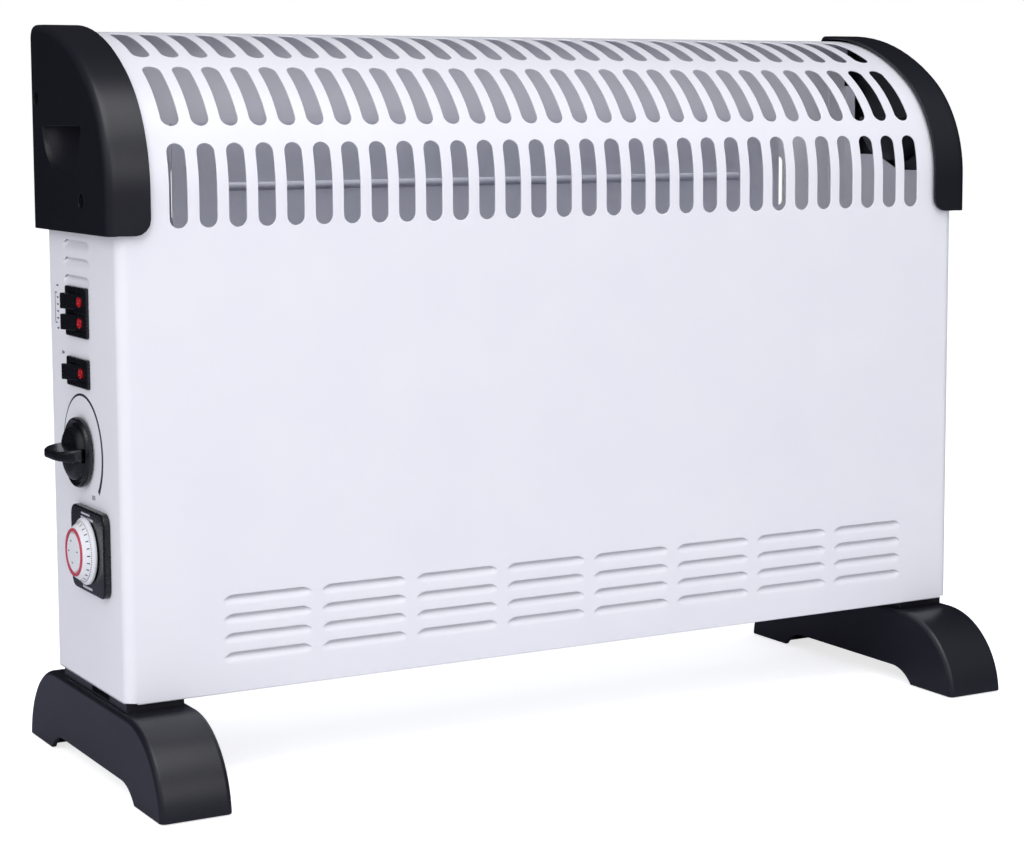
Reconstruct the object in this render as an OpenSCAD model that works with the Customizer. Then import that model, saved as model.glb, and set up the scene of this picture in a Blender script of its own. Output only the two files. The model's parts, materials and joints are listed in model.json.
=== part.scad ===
// Free-standing convector heater with end caps, feet, side controls and a turbo fan.
// All sizes in millimetres. X runs along the width with the control side at -X,
// Y runs from the front (-) to the back (+) and Z is up.
// The origin lies on the floor, below the middle of the whole outline, knob included.

/* [Casing] */
// Width over the white side walls
body_w = 518; // [460:1:620]
// Depth of the folded casing, front wall to rear flange
body_d = 104; // [96:1:120]
// Height of the casing's lower edge above the floor
base_z = 48; // [44:1:60]
// Height at which the front wall starts to curve back
shoulder_z = 301; // [290:1:340]
// Outside radius of the lower curve of the top
front_r = 68.7; // [60:0.1:80]
// Angle taken by the lower curve
front_turn = 52; // [45:1:60]
// Level strip of the top in front of its rear edge
top_flat = 1.25; // [0.5:0.25:4]
// Thickness of the sheet steel
sheet_t = 0.8; // [0.6:0.1:1.2]
// Outside radius of the upright front bends
bend_r = 6; // [3:0.5:10]
// Width of the rear flanges
flange_w = 14; // [10:1:18]

/* [Outlet grille] */
// Plain sheet beside the outermost slots
slot_edge = 24; // [18:0.5:40]
// Distance between slot columns
slot_pitch = 15.65; // [14:0.05:18]
// Width of a slot
slot_w = 9.5; // [6:0.5:11]
// Length of a slot
slot_l = 42; // [30:1:48]
// Distance between slot rows, measured along the sheet
row_pitch = 51.2; // [48:0.1:56]
// Middle of the lowest row, measured along the sheet from the shoulder
row_start = 3; // [0:0.5:8]

/* [Inlet louvres] */
// Length of one front louvre
louvre_l = 48.3; // [36:0.1:52]
// Distance between groups
louvre_step = 54.4; // [52:0.1:58]
// Plain sheet left of the first group
louvre_left = 52; // [30:1:70]
// Least plain sheet right of the last group
louvre_right = 36; // [30:1:60]
// Rows in one group
louvre_rows = 4; // [2:1:5]
// Distance between louvre rows
louvre_pitch = 9.8; // [9:0.1:13]
// Height of the lowest slit
louvre_z = 68.9; // [66:0.1:76]
// Height of the pressed slope below a slit
louvre_h = 5.6; // [4:0.1:7]
// How far a louvre is pressed inward
louvre_d = 2.6; // [2:0.1:4]

/* [End caps] */
// Reach of a cap beyond the side wall
cap_out = 6.2; // [4:0.1:9]
// Overlap of a cap over the sheet
cap_lap = 16.6; // [12:0.1:24]
// Height of the cap's outside above the sheet
cap_over = 3.3; // [2.5:0.1:5]
// Play between a cap and the sheet it covers
cap_play = 0.3; // [0.2:0.05:0.5]
// Height of the caps' lower edge
cap_z = 280; // [270:1:286]
// Reach of the caps behind the casing
cap_rear = 5; // [3:0.5:8]
// Rounding of the caps' outer edge
cap_soft = 4; // [2:0.5:5]
// Radius of the finger recess
grip_r = 29.3; // [24:0.1:32]
// Flat upper edge of the finger recess
grip_z = 333; // [325:1:340]
// Depth of the finger recess
grip_depth = 14; // [10:1:18]

/* [Feet] */
// Width of a foot
foot_w = 37.5; // [32:0.5:44]
// Reach of a foot beyond the side wall
foot_out = 1.5; // [0:0.1:4]
// Radius of the curved leg
leg_r = 45.5; // [40:0.5:46]
// Distance from the middle to the axis of the leg curve
leg_y = 54; // [48:1:60]
// Height of the arch under a foot
arch_h = 9.5; // [7:0.5:14]
// Half length of the level part of the arch
arch_y = 45; // [36:1:50]
// Wall thickness of the moulded plastic
plastic_t = 2.6; // [2:0.1:3.5]

/* [Controls] */
// Middle of the switches, knob and dial from front to back
panel_y = 6.5; // [0:0.5:12]
// Height of the double switch
double_z = 239.3; // [232:0.1:246]
// Height of the single switch
single_z = 208.5; // [200:0.1:216]
// Height of the thermostat
knob_z = 168; // [160:1:176]
// Radius of the knob's base
knob_r = 18; // [14:0.5:20]
// Reach of the knob's finger blade beyond the side wall
blade_reach = 22.7; // [21:0.1:26]
// Middle of the timer from front to back
timer_y = -9; // [-14:0.5:4]
// Height of the timer
timer_z = 119.5; // [110:0.5:126]
// Length and height of the timer bezel
timer_face = [49, 43];
// Radius of the timer dial
dial_r = 17; // [14:0.5:20]
// Length of a rocker frame
rocker_l = 31; // [28:0.5:34]
// Height of one rocker
rocker_h = 8; // [7:0.1:10]
// Tilt of a rocker to either side
rocker_tilt = 12; // [8:1:14]

/* [Running fits] */
// Radial play of turning shafts
spin_play = 0.06; // [0.02:0.01:0.1]
// Play around the rockers
rocker_play = 0.35; // [0.2:0.05:0.5]
// Radial play of screws in clearance holes
screw_play = 0.25; // [0.1:0.05:0.5]

/* [Heating and fan] */
// Heights of the lower and upper heating element
element_z = [124, 162];
// Radius of a heating rod
rod_r = 4.25; // [3:0.05:5]
// Number of fins on one element
fin_count = 46; // [30:1:56]
// Width of the space for controls and leads at each end of the bay with the elements
control_w = 63; // [58:0.5:75]
// Height of the fan axis
fan_z = 80; // [76:1:86]
// Fan axis from front to back
fan_y = 2; // [-6:1:8]
// Outside radius of the fan wheel
fan_r = 19; // [15:0.5:21]
// Length of the fan wheel
fan_l = 170; // [120:1:180]
// Radius of the fan shaft
fan_shaft_r = 2.5; // [2:0.1:3]
// Inside radius of the cord gland
cord_r = 3.6; // [3:0.1:4.5]

/* [View] */
// Sub-part to draw

/* [Hidden] */
$fn = 96;
white = "#e4e5f0";
black = "#23242b";
zinc = "#b9bcc4";
alu = "#c9ccd2";
brass = "#c2a14a";
red = "#c00014";
side_x = body_w / 2;
front_y = -body_d / 2;
back_y = body_d / 2;
mid_x = (blade_reach - cap_out) / 2;
slot_cols = floor((body_w - 2 * slot_edge) / slot_pitch);
louvre_x = louvre_left - side_x;
louvre_groups = floor((body_w - louvre_left - louvre_right + louvre_step - louvre_l) / louvre_step);
top_r = front_r + (body_d - top_flat - front_r) / cos(front_turn);
// Centres of the two curves of the top
c1 = [front_y + front_r, shoulder_z];
c2 = [c1[0] + (top_r - front_r) * cos(front_turn), c1[1] - (top_r - front_r) * sin(front_turn)];
front_arc = front_r * front_turn * PI / 180;
// Point of the casing at distance s along the sheet from the shoulder
function arc_angle(s) = s < front_arc ? s / front_r * 180 / PI
    : front_turn + (s - front_arc) / top_r * 180 / PI;
function arc_point(s) = s < 0 ? [front_y, shoulder_z + s]
    : s < front_arc ? [c1[0] - front_r * cos(arc_angle(s)), c1[1] + front_r * sin(arc_angle(s))]
    : [c2[0] - top_r * cos(arc_angle(s)), c2[1] + top_r * sin(arc_angle(s))];
case_top = c2[1] + top_r;
grip_y = 9;
cap_bolts = [[-18, cap_z + 16], [back_y - 4, case_top - 34.4]];
side_top = cap_z + 23;
cap_bolt_r = 1.75;
thread_r = 1.6;
cap_back = back_y + cap_rear;
cap_x = -side_x - cap_out;
cap_in = -side_x + cap_lap;
floor_t = base_z + 2 * sheet_t;
foot_x = side_x + foot_out - foot_w / 2;
leg_top = leg_r - 2;
foot_bolts = [18 - back_y, back_y - 18];
sole_y = arch_y + 20;
bulk_bolts = foot_bolts;
bay_x = side_x - control_w;
knob_bush_r = 4.6;
knob_shaft_r = 3;
timer_shaft_r = 2.6;
rocker_pivot = -0.5;
rocker_r = rocker_l / 2 - 2.9;
switch_lip = 1.6;
lens_r = 2.6;
knob_y = panel_y - 1.5;
double_gap = 2.7;
double_h = 2 * rocker_h + double_gap + 7;
single_h = rocker_h + 7;
rod_y = -2;
cutout_z = element_z[1] + 53;
motor_x = [30 - bay_x, 48 - bay_x];
wheel_x = [motor_x[1] + 40, motor_x[1] + 40 + fan_l];
reflector_y = back_y - 16;
pad_y = leg_y + leg_r - 17.5;
panel_t = sheet_t;
block_x = 23 - side_x;
stud_x = block_x + 20.5;
gland_at = [31 - side_x, base_z + 28];
panel_bolts = [for (x = [8 - side_x, side_x - 8]) for (z = [80, 170, cap_z - 20]) [x, z],
    [-150, case_top - 9], [150, case_top - 9]];

// Shifts the model, drawn about the middle of the casing, to the middle of the whole outline
module placed() {
    translate([mid_x, 0, 0]) children();
}

// Extrudes an outline drawn in Y and Z along X
module along_x(x0, len) {
    translate([x0, 0, 0]) rotate([90, 0, 90]) linear_extrude(len) children();
}

// Extrudes an outline drawn in X and Z along Y, from y0 towards the back
module along_y(y0, len) {
    translate([0, y0 + len, 0]) rotate([90, 0, 0]) linear_extrude(len) children();
}

// Places a piece on the control side: local x is up, local y is back, local z is outward
module on_side(y, z) {
    translate([-side_x, y, z]) rotate([0, -90, 0]) children();
}

module box(size, at) {
    translate(at) cube(size, center = true);
}

// Rod along X
module rod(x0, x1, y, z, r) {
    translate([x0, y, z]) rotate([0, 90, 0]) cylinder(r = r, h = x1 - x0);
}

module stadium(w, l) {
    square([w, l - w], center = true);
    for (s = [-1, 1]) translate([0, s * (l - w) / 2]) circle(d = w);
}

module soft_rect(w, h, r) {
    square([w - 2 * r, h], center = true);
    square([w, h - 2 * r], center = true);
    for (x = [-1, 1]) for (y = [-1, 1]) translate([x * (w / 2 - r), y * (h / 2 - r)]) circle(r = r);
}

// Side view of the casing, grown outward by grow, cut off at low and at back
module side_view(grow, low, back) {
    far = 300;
    slope = far / tan(front_turn);
    intersection() {
        union() {
            translate([front_y - grow, low - 1])
                square([back - front_y + grow, shoulder_z - low + 1]);
            intersection() {
                translate(c1) circle(r = front_r + grow);
                translate(c1) polygon([[0, 0], [-far, 0], [-far, far], [-slope, far]]);
            }
            intersection() {
                translate(c2) circle(r = top_r + grow);
                translate(c2) polygon([[0, 0], [-slope, far], [back - c2[0], far],
                    [back - c2[0], 0]]);
            }
        }
        translate([-far, low]) square([2 * far, far * 2]);
    }
}

// Leaves a rounded upright edge of radius r at the front corners of a body of half width hw
module front_edges(hw, fy, r, low, high) {
    for (s = [-1, 1]) difference() {
        translate([s > 0 ? hw - r : -hw - 1, fy - 1, low]) cube([r + 1, r + 1, high - low]);
        translate([s * (hw - r), fy + r, low - 1]) cylinder(r = r, h = high - low + 2);
    }
}

module slot_row(s) {
    a = arc_point(s - slot_l / 2);
    b = arc_point(s + slot_l / 2);
    lean = atan2(b[0] - a[0], b[1] - a[1]);
    translate([0, (a[0] + b[0]) / 2, (a[1] + b[1]) / 2]) rotate([90 - lean, 0, 0])
        linear_extrude(16, center = true)
            for (i = [0:slot_cols - 1])
                translate([(i - (slot_cols - 1) / 2) * slot_pitch, 0]) stadium(slot_w, slot_l);
}

// A louvre pressed inward with its slit at the top: x along, y inward, z up from its lower edge
module louvre(l, h, d) {
    t = sheet_t;
    lift = t / cos(atan2(d, h)) - t;
    difference() {
        intersection() {
            along_x(-l, 2 * l) polygon([[0, -0.3], [0, h], [t + d, h], [t, 0], [t, -0.3]]);
            translate([0, 0, -1]) linear_extrude(h + 2) polygon([[-l / 2 - 0.3, 0], [l / 2 + 0.3, 0],
                [l / 2 + 0.3, t], [l / 2 - d, t + d], [d - l / 2, t + d], [-l / 2 - 0.3, t]]);
        }
        intersection() {
            along_x(-l, 2 * l) polygon([[-1, lift * h / d], [0, lift * h / d],
                [d - lift + d / h, h + 1], [-1, h + 1]]);
            translate([0, 0, -1]) linear_extrude(h + 4) polygon([[-l / 2 + 0.5, -1], [l / 2 - 0.5, -1],
                [l / 2 - 0.5, 0], [l / 2 - d - 0.5, d], [d - l / 2 + 0.5, d], [-l / 2 + 0.5, 0]]);
        }
    }
}

module at_front_louvres() {
    for (g = [0:louvre_groups - 1]) for (r = [0:louvre_rows - 1])
        translate([louvre_x + louvre_l / 2 + g * louvre_step, front_y,
            louvre_z - louvre_h + r * louvre_pitch]) children();
}

vent_l = 40;
module at_side_vents() {
    for (r = [0:2]) translate([-side_x, 9, 257.4 + r * 9]) rotate([0, 0, -90]) children();
}

module casing_holes() {
    slot_row(row_start);
    slot_row(row_start + row_pitch);
    slot_row(row_start + 2 * row_pitch);
    at_front_louvres() translate([-louvre_l / 2, -1, 0]) cube([louvre_l, sheet_t + 1.01, louvre_h]);
    at_side_vents() translate([-vent_l / 2, -1, 0]) cube([vent_l, sheet_t + 1.01, louvre_h]);
    // Finger recesses and cap screws, both sides
    for (s = [-1, 1]) {
        translate([s * side_x, 0, 0]) rotate([90, 0, 90]) linear_extrude(6, center = true)
            grip_outline(plastic_t + 0.5);
        for (p = cap_bolts) rod(s * side_x - 3, s * side_x + 3, p[0], p[1], thread_r);
    }
    // Switch, thermostat and timer openings
    for (s = [[double_z, double_h], [single_z, single_h]]) on_side(panel_y, s[0])
        box([s[1] - 2 * switch_lip + 0.4, rocker_l - 2 * switch_lip + 0.4, 8], [0, 0, 0]);
    on_side(knob_y, knob_z) cylinder(r = knob_bush_r + 0.3, h = 8, center = true);
    on_side(timer_y, timer_z) box([timer_face[1] - 6, timer_face[0] - 6, 8], [0, 0, 0]);
    // Rear panel screws
    for (p = panel_bolts) translate([p[0], back_y - 3, p[1]]) rotate([-90, 0, 0])
        cylinder(r = thread_r, h = 6);
    for (s = [-1, 1]) for (y = foot_bolts) translate([s * foot_x, y, base_z - 2])
        cylinder(r = cap_bolt_r + screw_play, h = 6);
}

// Outline of the finger recess in Y and Z
module grip_outline(grow) {
    intersection() {
        translate([grip_y, grip_z + 4.3]) circle(r = grip_r + grow);
        translate([grip_y - 60, grip_z - 60]) square([120, 60 + grow]);
    }
}

module front_casing() {
    t = sheet_t;
    color(white) {
        difference() {
            along_x(-side_x, body_w) side_view(0, base_z, back_y);
            front_edges(side_x, front_y, bend_r, base_z - 1, cap_z + 4);
            difference() {
                along_x(t - side_x, body_w - 2 * t) side_view(-t, base_z + t, back_y - t);
                front_edges(side_x - t, front_y + t, bend_r - t, base_z - 2, cap_z + 4);
            }
            // Open bottom inside the lower flange, open back inside the rear flanges
            translate([12 - side_x, front_y + 12, base_z - 1]) cube([body_w - 24, body_d, 4]);
            translate([flange_w - side_x, back_y - 4, base_z - 1])
                cube([body_w - 2 * flange_w, 8, case_top - 15 - base_z]);
            // Inside the caps the side walls end in a slanted edge and leave a tab at the rear
            for (s = [-1, 1]) translate([s * (side_x - t / 2), 0, 0]) along_x(-t, 2 * t) difference() {
                side_view(-t, cap_z + 8, back_y - t);
                intersection() {
                    side_view(-t - 1.6, cap_z, back_y - t + 1);
                    polygon([[front_y, cap_z], [front_y, side_top], [0, side_top], [20, side_top + 9],
                        [back_y - 9, side_top + 9], [back_y - 9, cap_bolts[1][1] + 7],
                        [back_y + 1, cap_bolts[1][1] + 7], [back_y + 1, cap_z]]);
                }
            }
            casing_holes();
        }
        at_front_louvres() louvre(louvre_l, louvre_h, louvre_d);
        at_side_vents() louvre(vent_l, louvre_h, louvre_d);
    }
}

module rear_panel() {
    top = case_top - 5;
    color(white) difference() {
        union() {
            along_y(back_y, panel_t) translate([0, (base_z + 2 + top) / 2])
                soft_rect(body_w - 8, top - base_z - 2, 3);
            // Pressed stiffening frame
            along_y(back_y, 2.4) translate([0, 205]) difference() {
                soft_rect(380, 130, 8);
                soft_rect(368, 118, 6);
            }
        }
        for (x = [127, 147, 167, 187, 207]) for (s = [-1, 1])
            translate([s * x, back_y, 296]) rotate([90, 0, 0])
                linear_extrude(12, center = true) stadium(6.8, 30);
        for (i = [0:17]) for (z = [72, 104]) if (i > 1 || z > 90)
            translate([(i - 8.5) * 24, back_y, z]) rotate([90, 0, 0])
                linear_extrude(12, center = true) stadium(6, 22);
        for (p = panel_bolts) translate([p[0], back_y - 3, p[1]]) rotate([-90, 0, 0])
            cylinder(r = cap_bolt_r + screw_play, h = 6);
        translate([gland_at[0], back_y - 3, gland_at[1]]) rotate([-90, 0, 0]) cylinder(r = 6.3, h = 6);
    }
}

module bottom_plate() {
    t = sheet_t;
    z = base_z + t;
    color(zinc) difference() {
        union() {
            translate([2 - side_x, front_y + 2, z]) cube([body_w - 4, body_d - 3.2, t]);
            translate([17 - side_x, back_y - t - 1.2, z]) cube([body_w - 34, t, 14]);
        }
        for (x = [1, -1]) translate([x * side_x, front_y, z - 1]) rotate([0, 0, 45])
            cube([12, 12, 10], center = true);
        // Air inlet below the fan and the elements
        for (i = [0:23]) for (y = [-26, 4, 34])
            if (!(i < 3 && y > 0)) translate([(i - 11.5) * 15.6, y, z - 1])
                linear_extrude(4) stadium(6, 24);
        for (s = [-1, 1]) for (y = foot_bolts) translate([s * foot_x, y, z - 1])
            cylinder(r = thread_r, h = 4);
        for (s = [-1, 1]) for (y = bulk_bolts) translate([s * (bay_x + 6.5), y, z - 1])
            cylinder(r = thread_r, h = 4);
    }
}

// Slice of an end cap from x0 on, its outline drawn in by less
module cap_slice(x0, len, less) {
    along_x(x0, len) side_view(cap_over - less, cap_z, cap_back - less, $fn = 72);
}

// Solid of an end cap with a rounded outer edge and cut lower corners
module cap_body() {
    difference() {
        hull() {
            cap_slice(cap_x + cap_soft, cap_out + cap_lap - cap_soft, 0);
            for (p = [[0.55, 0.1], [0.25, 0.3], [0.07, 0.6], [0, 1]])
                cap_slice(cap_x + p[0] * cap_soft, 0.01, p[1] * cap_soft);
        }
        along_y(-100, 200) translate([cap_in, cap_z])
            polygon([[-8, -1], [-8, 0], [-4.9, 0.6], [-2.3, 2.3], [-0.6, 4.9], [0, 8], [1, 8], [1, -1]]);
    }
}

// Left end cap: an open moulded shell over the end of the casing
module end_cap() {
    wall_x = cap_x + plastic_t;
    seat_x = -side_x - cap_play;
    difference() {
        union() {
            difference() {
                cap_body();
                along_x(seat_x, cap_lap + 2) side_view(cap_play, cap_z - 1, back_y + panel_t + cap_play);
                along_x(wall_x, seat_x - wall_x + 0.1) side_view(-4, cap_z + 3, back_y - 2);
            }
            along_x(wall_x - 0.1, grip_depth) grip_outline(plastic_t);
            for (p = cap_bolts) rod(wall_x - 0.1, seat_x, p[0], p[1], 4.6);
            // Stiffening ribs behind the end wall
            intersection() {
                along_x(wall_x - 0.1, seat_x - wall_x + 0.1) side_view(-3, cap_z + 1, back_y - 1);
                for (y = [-36, 9, 36]) translate([-side_x - 10, y - 0.8, cap_z])
                    cube([20, 1.6, y == 9 ? 26 : 110]);
            }
        }
        along_x(cap_x - 1, grip_depth + 1) grip_outline(0);
        for (p = cap_bolts) {
            rod(cap_x - 1, seat_x + 1, p[0], p[1], cap_bolt_r + screw_play);
            rod(cap_x - 1, cap_x + 2, p[0], p[1], 3.6);
        }
    }
}

module left_end_cap() { color(black) end_cap(); }
module right_end_cap() { color(black) mirror([1, 0, 0]) end_cap(); }

module leg_section(r, w, soft) {
    translate([0, -w / 2 + soft]) square([r, w - 2 * soft]);
    translate([0, -w / 2]) square([r - soft, w]);
    for (s = [-1, 1]) translate([r - soft, s * (w / 2 - soft)]) circle(r = soft);
}

// Solid of a foot, shrunk on all sides by less
module foot_form(less, soft) {
    w = foot_w - 2 * less;
    r = leg_r - less;
    translate([0, -leg_y, 0]) rotate([-90, 0, 0]) linear_extrude(2 * leg_y) rotate([0, 0, -90])
        translate([-2, 0]) leg_section(r, w, soft);
    for (s = [0, 1]) mirror([0, s, 0]) translate([0, leg_y, -2]) rotate([90, 0, 90])
        rotate_extrude(angle = 90, $fn = 160) leg_section(r, w, soft);
}

// Left foot about its own middle, outer side at -X
module foot() {
    arch_r = (18 * 18 + arch_h * arch_h) / (2 * arch_h);
    collar_x = 3 - foot_w / 2;
    collar_w = foot_w - 7;
    difference() {
        union() {
            foot_form(0, 3);
            translate([collar_x, 5 - back_y, leg_top - 4])
                cube([collar_w, body_d - 10, base_z - leg_top + 4]);
            // Step that locates the foot inside the casing's lower flange
            translate([-4.5, 14 - back_y, base_z - 1]) cube([18, body_d - 28, 1 + sheet_t]);
        }
        difference() {
            foot_form(plastic_t, 1);
            for (s = [-1, 1]) translate([-30, s > 0 ? sole_y - 4 : -sole_y + 4 - 60, -9]) cube([60, 60, 13]);
        }
        along_x(-40, 80) {
            translate([-arch_y, -1]) square([2 * arch_y, arch_h + 1]);
            for (s = [-1, 1]) translate([s * arch_y, arch_h - arch_r]) circle(r = arch_r);
        }
        translate([-50, -120, -9]) cube([100, 240, 9.8]);
        for (y = foot_bolts) translate([0, y, 20]) cylinder(r = cap_bolt_r + screw_play, h = 40);
        for (s = [-1, 1]) translate([0, s * pad_y, 0]) cylinder(r = 8, h = 2.4);
        translate([collar_x - 1, -22, leg_top + 0.9]) cube([4, 26, 2.6]);
    }
}

module left_foot() { color(black) translate([-foot_x, 0, 0]) foot(); }
module right_foot() { color(black) mirror([1, 0, 0]) translate([-foot_x, 0, 0]) foot(); }

module foot_pads() {
    color("#2b2b2e") for (x = [-foot_x, foot_x]) for (y = [-pad_y, pad_y])
        translate([x, y, 0]) cylinder(r = 7.7, h = 2.4);
}

module heat_reflector() {
    t = sheet_t;
    y = reflector_y;
    low = base_z + 64;
    color(zinc) difference() {
        union() {
            translate([-bay_x, y, low]) cube([2 * bay_x, t, 222]);
            for (s = [-1, 1]) translate([s > 0 ? bay_x - t : -bay_x, y - 12, low + 38])
                cube([t, 12 + t, 90]);
            // Slanted lower lip that leads the air forward
            along_x(20 - bay_x, 2 * bay_x - 40) polygon([[y, low], [y + t, low], [y + 8, low - 10],
                [y + 8, low - 11.2]]);
            // Stiffening bead
            along_x(30 - bay_x, 2 * bay_x - 60) translate([y + t, low + 188]) circle(r = 2.4);
        }
        along_x(30.8 - bay_x, 2 * bay_x - 61.6) translate([y + t, low + 188]) circle(r = 1.6);
        along_x(-bay_x, 2 * bay_x) translate([y + t, low + 178]) square([4, 20]);
        for (x = [-120, 0, 120]) translate([x, y - 6, low + 98]) rotate([-90, 0, 0])
            cylinder(r = 3, h = 12);
    }
}

// Left bulkhead between the control space and the element bay
module bulkhead() {
    t = sheet_t;
    near = front_y + sheet_t + louvre_d + 0.3;
    top = shoulder_z - 39;
    difference() {
        union() {
            translate([-bay_x - t, near, floor_t]) cube([t, back_y - 2.4 - near, top - floor_t]);
            translate([-bay_x - 13, front_y + 8, floor_t]) cube([13, body_d - 17, t]);
            translate([-bay_x - 9, front_y + 8, top - t]) cube([9, body_d - 17, t]);
        }
        for (z = element_z) rod(-bay_x - 4, -bay_x + 4, rod_y, z, 7);
        rod(-bay_x - 4, -bay_x + 4, rod_y, cutout_z, 6);
        for (y = bulk_bolts) translate([-bay_x - 6.5, y, floor_t - 1])
            cylinder(r = cap_bolt_r + screw_play, h = 4);
        // Wire and air passages
        rod(-bay_x - 4, -bay_x + 4, 30, 90, 5);
        for (z = [70, 195, 240]) translate([-bay_x, -32, z]) rotate([90, 0, 90])
            linear_extrude(6, center = true) stadium(6, 16);
    }
}

module left_bulkhead() { color(zinc) bulkhead(); }
module right_bulkhead() { color(zinc) mirror([1, 0, 0]) bulkhead(); }

module element_fins(z) {
    len = 2 * (bay_x - 20);
    step = len / (fin_count - 1);
    color(alu) difference() {
        union() {
            rod(-len / 2 - 3, len / 2 + 3, rod_y, z, 6);
            for (i = [0:fin_count - 1]) along_x(-len / 2 + i * step - 0.5, 1)
                translate([rod_y, z]) soft_rect(i % 2 == 0 ? 33 : 27, i % 2 == 0 ? 26 : 31, 5);
        }
        rod(-len, len, rod_y, z, rod_r + 0.05);
    }
}

module lower_element_fins() { element_fins(element_z[0]); }
module upper_element_fins() { element_fins(element_z[1]); }

module element_rod(z) {
    color("#8d8f94") {
        rod(-bay_x - 10, bay_x + 10, rod_y, z, rod_r);
        for (s = [-1, 1]) {
            rod(s > 0 ? bay_x + 10 : -bay_x - 18, s > 0 ? bay_x + 18 : -bay_x - 10, rod_y, z, 1.8);
            box([9, 0.8, 6.3], [s * (bay_x + 21), rod_y, z]);
        }
    }
}

module lower_element_rod() { element_rod(element_z[0]); }
module upper_element_rod() { element_rod(element_z[1]); }

module element_bushes() {
    color("#e9e6dd") for (s = [0, 1]) mirror([s, 0, 0]) for (z = element_z) difference() {
        union() {
            rod(-bay_x - 6, -bay_x + 1, rod_y, z, 6.9);
            rod(-bay_x, -bay_x + 3, rod_y, z, 9);
        }
        rod(-bay_x - 9, -bay_x + 9, rod_y, z, rod_r + 0.08);
    }
}

module thermal_cutout() {
    x = -bay_x - sheet_t;
    color("#33343a") {
        rod(x - 8, x, rod_y, cutout_z, 8);
        rod(x - 0.5, x + 3, rod_y, cutout_z, 5.8);
        box([0.8, 30, 9], [x - 0.4, rod_y, cutout_z]);
        for (y = [-4, 4]) box([8, 0.8, 5], [x - 11.5, rod_y + y, cutout_z]);
    }
}

module thermostat_body() {
    color("#e3ddd0") on_side(knob_y, knob_z) difference() {
        union() {
            box([30, 26, 1.6], [0, 0, -sheet_t - 0.8]);
            box([26, 22, 15], [0, 0, -sheet_t - 1.6 - 7.5]);
            translate([0, 0, -4]) cylinder(r = knob_bush_r, h = 8.4);
        }
        translate([0, 0, -12]) cylinder(r = knob_shaft_r + spin_play, h = 20);
        for (x = [-1, 1]) box([4, 30, 6], [x * 11.5, 0, -16]);
    }
}

module thermostat_nut() {
    color(brass) on_side(knob_y, knob_z) difference() {
        cylinder(r = 8, h = 2.4, $fn = 6);
        translate([0, 0, -1]) cylinder(r = knob_bush_r + 0.05, h = 5);
    }
}

module thermostat_shaft() {
    color(zinc) on_side(knob_y, knob_z) difference() {
        translate([0, 0, -11]) cylinder(r = knob_shaft_r, h = 27);
        // Flat that carries the knob round
        box([4, 10, 12], [3.6, 0, 12]);
    }
}

module thermostat_knob() {
    color(black) on_side(knob_y, knob_z) difference() {
        union() {
            translate([0, 0, 0.8]) cylinder(r = knob_r, h = 2.4);
            translate([0, 0, 3.1]) difference() {
                cylinder(r1 = knob_r, r2 = knob_r - 0.7, h = 1.6);
                translate([0, 0, 0.2]) cylinder(r = knob_r - 1.9, h = 3);
            }
            translate([0, 0, 3]) cylinder(r1 = 14, r2 = 9, h = 5);
            // Finger blade across the knob
            translate([-3.6, 0, 0]) rotate([0, 90, 0]) linear_extrude(7.2) {
                translate([-14, -15.5]) square([11, 31]);
                translate([4.2 - blade_reach, -11.5]) square([8, 23]);
                translate([1.2 - blade_reach, -7]) square([8, 14]);
                for (s = [-1, 1]) {
                    translate([8.7 - blade_reach, s * 8.2]) circle(r = 7.3);
                    translate([7.2 - blade_reach, s * 6]) circle(r = 7.2);
                }
            }
        }
        // Space for the nut and the bush, and the bore for the shaft
        translate([0, 0, 0]) cylinder(r = 9, h = 3);
        translate([0, 0, 0]) cylinder(r = knob_bush_r + 0.6, h = 5.2);
        difference() {
            translate([0, 0, 2]) cylinder(r = knob_shaft_r + 0.05, h = 14.4);
            box([4, 10, 12], [3.66, 0, 12]);
        }
    }
}

// Rocker in a frame of its own: x up along its pivot, y back, z outward
module rocker_form() {
    difference() {
        translate([0, 0, rocker_pivot]) union() {
            translate([-rocker_h / 2, 0, 0]) rotate([90, 0, 90]) linear_extrude(rocker_h) intersection() {
                circle(r = rocker_r);
                polygon([[-20, -6.5], [20, -6.5], [20, 2.7 + 3.2], [0, 2.7], [-20, 2.7 + 3.2]]);
            }
            translate([-rocker_h / 2 - 0.8, 0, 0]) rotate([0, 90, 0])
                cylinder(r = 1, h = rocker_h + 1.6);
        }
        lens_place() translate([0, 0, -1.6]) cylinder(r = lens_r + 0.05, h = 4);
    }
}

module lens_place() {
    translate([0, -5.6, 2.2 + 5.6 * 0.16]) rotate([-9.1, 0, 0]) children();
}

module at_rocker(z) {
    on_side(panel_y, z) translate([0, 0, rocker_pivot]) rotate([rocker_tilt, 0, 0])
        translate([0, 0, -rocker_pivot]) children();
}

double_step = (rocker_h + double_gap) / 2;
module rocker_lens() {
    lens_place() {
        translate([0, 0, -1.6]) cylinder(r = lens_r, h = 1.9);
        translate([0, 0, 0.3]) cylinder(r1 = lens_r - 0.1, r2 = lens_r - 0.9, h = 0.5);
    }
}

module upper_heat_rocker() { color(black) at_rocker(double_z + double_step) rocker_form(); }
module lower_heat_rocker() { color(black) at_rocker(double_z - double_step) rocker_form(); }
module fan_rocker() { color(black) at_rocker(single_z) rocker_form(); }
module upper_heat_lens() { color(red) at_rocker(double_z + double_step) rocker_lens(); }
module lower_heat_lens() { color(red) at_rocker(double_z - double_step) rocker_lens(); }
module fan_lens() { color(red) at_rocker(single_z) rocker_lens(); }

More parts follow.
